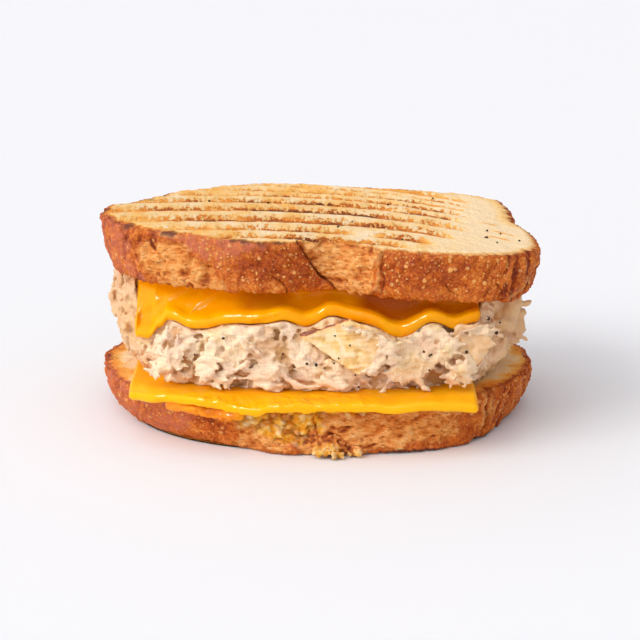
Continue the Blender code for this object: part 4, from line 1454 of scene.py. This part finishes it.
def clumps(rng):
    """Small flakes in clumps. The flakes of each clump lie much the same way."""
    places, turns = [], []
    for x, z, y, radius, count in CLUMPS:
        reach = radius * np.sqrt(rng.uniform(0, 1, count))
        turn = rng.uniform(0, 2 * np.pi, count)
        dome = 1.2 * (1 - (reach / radius) ** 2)
        places.append(spread(x + reach * np.cos(turn), y - dome, z + reach * np.sin(turn)))
        turns.append(rng.uniform(-0.7, 0.9) + rng.normal(0, 0.55, count))
    places, turns = np.concatenate(places), np.concatenate(turns)
    total = len(places)
    lengths, widths = rng.uniform(3, 7.5, total), rng.uniform(0.4, 1.05, total)
    lifts = rng.uniform(-0.1, 0.25, total)
    outs = heap_out(places)
    return strips(rng, places, outs, lengths, widths, 0.6 * widths, turns, lifts, 0.25)


def pile(*heaps):
    """Several heaps of closed shapes as one."""
    points, faces, total = [], [], 0
    for some, its_faces in heaps:
        points.append(some)
        faces.append(its_faces + total)
        total += len(some)
    return np.concatenate(points), np.concatenate(faces)


def within(x, span, before, after):
    """1 inside a span and 0 beyond its margins."""
    return smooth(span[0] - before, span[0] + 0.5, x) * smooth(span[1] + after, span[1] - 0.5, x)


def keep_clear(points):
    """Keeps the tuna between the breads, and behind and between the cheeses."""
    x, y, z = points.T
    back = smooth(UPPER_CHEESE_BACK + 1.5, UPPER_CHEESE_BACK - 0.5, y)
    under = within(x, UPPER_CHEESE_X, 2, 2) * back
    ceiling = lid_height(x, y) - GAP - 0.1 - (SHEET + SLACK) * under
    floor = THICK + GAP + (SHEET + 0.1) * within(x, LOWER_CHEESE_X, 1.5, 2)
    z = np.clip(z, floor, ceiling)
    # Where the upper cheese hangs in front, the tuna stays behind it and below its slope.
    drop = hem_drop(x)
    across = within(x, UPPER_CHEESE_X, 1, 1)
    hidden = smooth(-0.8, 0.3, z - (lid_height(x, y) - drop)) * across
    behind = hem_front(x) + SHEET + SLACK
    y = np.where(y < behind, lerp(y, behind, hidden), y)
    bend = hem_front(x) + SLOPE
    v = np.clip((bend - y) / LEAN, 0, 1) ** (1 / hem_lean(x))
    fall = hem_hang(drop) * hem_fall(v, pocket_at(x))
    roof = lid_height(x, bend) - GAP - SHEET - 0.7 - fall
    z = np.minimum(z, lerp(ceiling, np.maximum(floor, roof), across * (y < bend)))
    return spread(x, np.maximum(y, 1.5 - read_line(LOWER_EDGE, x)), z)


def tuna_layers(points):
    """What the tuna's colours come from: painted shade between strips, mottling, and painted shade
    at its ends and on its right.
    """
    x, y, z = points.T
    share = (z - THICK) / (lid_height(x, y) - THICK)
    side, out = heap_side(np.arctan2(y / HEAP_AXES[1], x / HEAP_AXES[0]), share)
    ends = np.maximum(smooth(44, 52, x), 0.9 * smooth(-44, -54, x))
    return {
        "painted_shade": smooth(0.5, -1.4, ((points - side) * out).sum(1)),
        "tint": 0.5 + 0.5 * noise(points, 7, 93, 2),
        "shade": ends + 0.3 * smooth(14, 28, x) * smooth(52, 44, x),
    }


def make_tuna(material):
    rng = np.random.default_rng(17)
    strewn = [scattered_strips(rng, *row) for row in SCATTERED]
    heap = pile(heap_core(), *strewn, shown_strips(rng), clumps(rng))

    def hidden(points):
        across, back = (np.abs(points[:, i] / HEAP_AXES[i]) ** HEAP_POWER for i in range(2))
        return across + back < 0.62

    mesh = fuse("tuna", *heap, 0.4, hidden, TUNA_TRIANGLES)
    points = keep_clear(mesh_points(mesh))
    set_points(mesh, points)
    fibre = noise(points, (2.4, 2.4, 0.7), 91, 2)
    lump = noise(points, 1.4, 92, 2)
    points = keep_clear(pushed_out(mesh, points, 0.32 * fibre + 0.26 * lump))
    set_points(mesh, points)
    set_layers(mesh, tuna_layers(points))
    return add_piece("tuna_salad", mesh, material, "tuna", "tuna")


def tuna_material():
    s = Shader("tuna_salad")
    base = s.ramp(
        s.vary(s.layer("tint"), s.noise(2.2, 3, 0.6), 0.8, s.noise(0.6, 2, 0.6), 0.25),
        (0.0, 230, 192, 160),
        (0.30, 246, 216, 182),
        (0.55, 253, 226, 192),
        (0.80, 248, 216, 166),
        (1.0, 236, 200, 152),
    )
    # Painted shade between the strips, and at the heap's ends and on its right.
    base = s.cover(base, s.layer("painted_shade"), 0.85, 208, 152, 84)
    base = s.cover(base, s.layer("shade"), 0.75, 220, 170, 116)
    flesh = s.grey_ramp(s.noise(5.5, 2, 0.5), 0.60, 0.72)
    base = s.cover(base, flesh, 0.5, 224, 186, 170)
    specks = s.grey_ramp(s.texture("TexVoronoi", 1.7).outputs["Distance"], 0.085, 0.05)
    few = s.grey_ramp(s.noise(2.6, 1, 0.5), 0.60, 0.64)
    base = s.cover(base, specks, few, 72, 58, 50)
    # Fibres that run one way in some flakes and another way in others.
    which = s.grey_ramp(s.noise(3.2, 2, 0.5), 0.46, 0.54)
    level_fibres = s.noise(0.62, 3, 0.6, (0.28, 0.8, 1.0))
    steep_fibres = s.noise(0.62, 3, 0.6, (1.0, 0.8, 0.32))
    fibres = s.mix(which, level_fibres, steep_fibres)
    # Painted shade in the grooves between the fibres.
    groove_shade = s.grey_ramp(s.math("SUBTRACT", 1.0, fibres), 0.52, 0.68)
    base = s.cover(base, groove_shade, 0.42, 206, 152, 108)
    skin = s.bump(fibres, 0.8, 0.55)
    skin = s.bump(s.noise(0.9, 4, 0.7), 0.4, 0.35, skin)
    skin = s.bump(s.noise(0.3, 2, 0.6), 0.25, 0.08, skin)
    return s.finish(
        base_color=base,
        roughness=s.gain(0.30, s.noise(1.5, 3, 0.6), 0.30),
        normal=skin,
        specular_ior_level=0.22,
        subsurface_weight=0.08,
        subsurface_radius=(1.0, 0.6, 0.4),
        subsurface_scale=0.0008,
    )


# ---------------------------------------------------------------- the chunks and the pepper

# The pale pieces: corners of the face as (x, z), top first, how far forward the face is, how far
# the lumps swell it, how often it is softened, and its seed.
CHUNKS = {
    "chunk_left": {
        "corners": ((-5.8, 33.3), (7.0, 37.7), (16.0, 34.5), (18.6, 29.0), (10.8, 21.5)),
        "face": -45.0,
        "swell": 0.55,
        "softened": 4,
        "seed": 100,
    },
    "chunk_right": {
        "corners": ((33.2, 26.2), (37.0, 34.8), (42.5, 34.8), (49.0, 29.0), (40.0, 21.5)),
        "face": -41.2,
        "swell": 1.2,
        "softened": 26,
        "seed": 110,
    },
}
CHUNK_DEPTH = 8.5
CHUNK_TAPER = 0.55  # the size of its back, as a share of its face


def make_chunk(node, material):
    chunk = CHUNKS[node]
    corners, face, seed = chunk["corners"], chunk["face"], chunk["seed"]
    middle = np.mean(corners, axis=0)
    bm = bmesh.new()
    for corner in corners:
        for y, taper in ((face, 1.0), (face + CHUNK_DEPTH, CHUNK_TAPER)):
            x, z = middle + (np.array(corner) - middle) * taper
            bm.verts.new((x, y, z))
    bmesh.ops.convex_hull(bm, input=bm.verts[:])
    bmesh.ops.triangulate(bm, faces=bm.faces[:])
    bmesh.ops.recalc_face_normals(bm, faces=bm.faces[:])
    bm.verts.index_update()
    points = np.array([vert.co[:] for vert in bm.verts])
    faces = np.array([[vert.index for vert in f.verts] for f in bm.faces])
    bm.free()
    mesh = fuse(node, points, faces, 0.35)
    for _ in range(chunk["softened"]):
        soften(mesh)
    points = mesh_points(mesh)
    grain = noise(points @ TILT, (2.8, 2.0, 0.8), seed, 3)
    lumps = noise(points, 4.5, seed + 5, 2)
    small = noise(points, 1.7, seed + 6, 2)
    points = pushed_out(mesh, points, 0.15 * grain + chunk["swell"] * lumps + 0.30 * small)
    set_points(mesh, points)
    x, _, z = points.T
    ragged = noise(points, 1.4, seed + 8, 2)
    pink = 0.5 * smooth(8, 17, x)
    if node == "chunk_left":
        gap, _ = line_gap(x, z, corners[:2])
        brown = bump(gap + 0.3 * ragged, 0, 0.55) + 0.30 * bump(gap, 0, 2.5)
    else:
        gap, _ = line_gap(x, z, corners[3:])
        brown = 0.8 * bump(gap + 0.2 * ragged, 0, 0.4)
        pink = 1 + pink
    brown, pink = np.clip(brown, 0, 1), np.minimum(pink, 1)
    set_layers(mesh, {"brown": brown, "grain": 0.5 + 0.5 * grain, "pink": pink})
    return add_piece("pale_" + node, mesh, material, "chunk", node)


def soften(mesh):
    """Moves each point half way to the middle of its neighbours."""
    points = mesh_points(mesh)
    edges = np.empty(len(mesh.edges) * 2, np.int32)
    mesh.edges.foreach_get("vertices", edges)
    first, second = edges.reshape(-1, 2).T
    total = np.zeros_like(points)
    count = np.zeros(len(points))
    for here, there in ((first, second), (second, first)):
        np.add.at(total, here, points[there])
        np.add.at(count, here, 1)
    set_points(mesh, 0.5 * points + 0.5 * total / np.maximum(count, 1)[:, None])


def chunk_material():
    s = Shader("pale_chunk")
    base = s.ramp(
        s.vary(s.layer("grain"), s.noise(1.0, 4, 0.65), 0.7, s.noise(4.0), 0.5),
        (0.0, 222, 170, 92),
        (0.35, 242, 198, 124),
        (0.65, 250, 214, 156),
        (1.0, 250, 222, 178),
    )
    streak = s.grey_ramp(s.noise(1.4, 3, 0.6, (1.0, 1.0, 0.45)), 0.52, 0.66)
    base = s.cover(base, streak, 0.5, 255, 236, 204)
    base = s.cover(base, s.layer("pink"), 0.7, 228, 182, 138)
    brown = s.vary(s.layer("brown"), s.noise(0.6, 3, 0.6), 0.35)
    crust = s.ramp(brown, (0.3, 250, 214, 150), (0.55, 222, 142, 72), (0.85, 140, 66, 40))
    return s.finish(
        base_color=s.mix(s.grey_ramp(brown, 0.25, 0.6), base, crust),
        roughness=s.gain(0.30, s.noise(1.5), 0.25),
        normal=s.bump(s.noise(0.8, 4, 0.65, (1, 1, 2.5)), 0.5, 0.3),
        specular_ior_level=0.3,
        subsurface_weight=0.25,
        subsurface_radius=(1.0, 0.7, 0.35),
        subsurface_scale=0.0016,
    )


# Pepper as (x, height, size) on the front of the filling and (x, y, size) on the grilled face,
# and how many flecks are thrown at the rest of the sandwich's sides.
PEPPER_ROUND = 60
PEPPER_FRONT = (
    (-26.0, 31.5, 0.45),
    (-34.0, 26.0, 0.3),
    (-10.0, 27.0, 0.35),
    (-3.5, 24.6, 0.42),
    (-1.0, 24.0, 0.45),
    (1.2, 23.2, 0.3),
    (5.0, 27.0, 0.3),
    (3.8, 25.2, 0.3),
    (9.5, 21.0, 0.3),
    (10.5, 17.6, 0.35),
    (8.0, 30.5, 0.32),
    (4.0, 33.0, 0.25),
    (28.0, 28.0, 0.4),
    (30.0, 27.2, 0.35),
    (29.5, 22.6, 0.3),
    (39.5, 27.5, 0.55),
    (32.6, 35.6, 0.85),
    (30.8, 35.9, 0.6),
    (46.0, 34.0, 0.6),
    (47.6, 32.4, 0.5),
    (49.6, 31.8, 0.35),
    (-21.0, 38.6, 0.3),
)
PEPPER_TOP = (
    (46, -21, 0.6),
    (22.5, -28, 0.35),
    (9, -12, 0.35),
    (-15, 4, 0.45),
    (-32, 4, 0.4),
    (5, -20, 0.35),
    (48.5, -26, 0.3),
    (47, -12, 0.4),
    (55, -22, 0.35),
    (50.5, -15, 0.35),
    (20, 12, 0.4),
    (-8, 22, 0.35),
    (34, 26, 0.35),
)


def make_pepper(material, *pieces):
    """Flecks of pepper pressed into whatever shows at each place."""
    rng = np.random.default_rng(31)
    meshes = [piece.data for piece in pieces]
    trees = [BVHTree.FromPolygons(mesh_points(m).tolist(), mesh_faces(m)) for m in meshes]
    rays = [((x, -90, z), (0, 1, 0), size) for x, z, size in PEPPER_FRONT]
    rays += [((x, y, 90), (0, 0, -1), size) for x, y, size in PEPPER_TOP]
    for _ in range(PEPPER_ROUND):
        angle = rng.uniform(-0.2, np.pi + 0.2)
        height = rng.uniform(18, 38)
        c, s = np.cos(angle), np.sin(angle)
        rays.append(((90 * c, 80 * s, height), (-c, -s, 0), rng.uniform(0.2, 0.45)))
    places, sizes = [], []
    for start, way, size in rays:
        hits = [tree.ray_cast(Vector(start), Vector(way)) for tree in trees]
        hits = [hit for hit in hits if hit[0] is not None]
        if hits:
            nearest, normal, _, _ = min(hits, key=lambda hit: hit[3])
            places.append(np.array(nearest) + 0.15 * size * np.array(normal))
            sizes.append(size * rng.uniform(0.7, 1.1, 3))
    points, faces, unit = balls(places, sizes, (6, 8))
    points += rng.uniform(-0.12, 0.12, points.shape) * np.repeat(np.array(sizes), len(unit), 0)
    return add_piece("pepper_flecks", make_mesh("pepper", points, faces), material, "tuna")


def pepper_material():
    s = Shader("pepper")
    base = s.ramp(s.noise(0.3, 3, 0.6), (0.3, 34, 26, 24), (0.7, 84, 64, 52))
    skin = s.bump(s.noise(0.2), 0.6, 0.1)
    return s.finish(base_color=base, roughness=0.8, normal=skin, specular_ior_level=0.1)


# ---------------------------------------------------------------- the studio


def make_floor():
    bm = bmesh.new()
    bmesh.ops.create_grid(bm, x_segments=4, y_segments=4, size=4.0)
    mesh = bpy.data.meshes.new("floor")
    bm.to_mesh(mesh)
    bm.free()
    s = Shader("studio_floor")
    base = s.mix(s.noise(900, 2, 0.4), (0.86, 0.86, 0.885, 1), (0.88, 0.88, 0.90, 1))
    mesh.materials.append(s.finish(base_color=base, roughness=0.75, specular_ior_level=0.2))
    floor = bpy.data.objects.new("floor", mesh)
    floor.location.z = -0.0002
    bpy.context.scene.collection.objects.link(floor)


LIT_PLACE = Vector((0, 0, 0.03))
SUNS = (
    ("key", (-0.70, -0.34, 0.56), 1.25, 38, (1.0, 0.985, 0.96), "glossy"),
    ("soft_key", (-0.45, -0.50, 0.60), 0.22, 20, (1.0, 0.99, 0.97)),
    ("glint", (-0.34, -0.48, 0.78), 6.0, 12, (1.0, 0.99, 0.97), "diffuse"),
)


def add_sun(name, from_place, strength, angle, colour, unlit=None):
    """A sun of the given width in degrees, which leaves out diffuse or glossy light if asked."""
    light = bpy.data.lights.new(name, "SUN")
    light.energy = strength
    light.angle = np.radians(angle)
    light.color = colour
    obj = bpy.data.objects.new(name, light)
    obj.location = from_place
    way = LIT_PLACE - obj.location
    obj.rotation_euler = way.to_track_quat("-Z", "Y").to_euler()
    bpy.context.scene.collection.objects.link(obj)
    if unlit:
        setattr(obj, "visible_" + unlit, False)


def make_studio():
    make_floor()
    world = bpy.data.worlds.new("studio")
    world.use_nodes = True
    tree = world.node_tree
    background = tree.nodes["Background"]
    background.inputs["Color"].default_value = (0.98, 0.98, 1.0, 1)
    # The soft light is brighter from the left and from above.
    toward = tree.nodes.new("ShaderNodeVectorMath")
    toward.operation = "DOT_PRODUCT"
    toward.inputs[1].default_value = (-0.66, -0.42, 0.50)
    strength = tree.nodes.new("ShaderNodeMapRange")
    for limit, value in (("From Min", -0.8), ("From Max", 0.8), ("To Min", 0.22), ("To Max", 1.10)):
        strength.inputs[limit].default_value = value
    tree.links.new(tree.nodes.new("ShaderNodeTexCoord").outputs["Generated"], toward.inputs[0])
    tree.links.new(toward.outputs["Value"], strength.inputs["Value"])
    tree.links.new(strength.outputs[0], background.inputs["Strength"])
    bpy.context.scene.world = world
    for sun in SUNS:
        add_sun(*sun)


CAMERA_PLACE = (0, -505, 172)
CAMERA_TILT = 16.3  # degrees below level
LENS = 101.25
SENSOR = 36


def make_camera():
    data = bpy.data.cameras.new("camera")
    data.lens = LENS
    data.sensor_width = SENSOR
    camera = bpy.data.objects.new("camera", data)
    camera.location = place(CAMERA_PLACE)
    camera.rotation_euler = (np.radians(90 - CAMERA_TILT), 0, 0)
    bpy.context.scene.collection.objects.link(camera)
    bpy.context.scene.camera = camera


def main():
    bread = bread_material()
    upper = make_bread_upper(bread)
    make_bread_lower(bread)
    make_torn_tongue(bread)
    cheese = cheese_material("melted_cheese", (255, 180, 0), (255, 164, 0))
    make_cheese_upper(cheese)
    make_cheese_lower(cheese)
    make_cheese_drip(cheese_material("browned_cheese", (255, 164, 20), (244, 132, 22)))
    tuna = make_tuna(tuna_material())
    pale = chunk_material()
    chunks = [make_chunk(node, pale) for node in CHUNKS]
    make_pepper(pepper_material(), tuna, upper, *chunks)
    make_studio()
    make_camera()
    settings = bpy.context.scene.view_settings
    settings.view_transform = "Standard"
    settings.look = "None"


main()
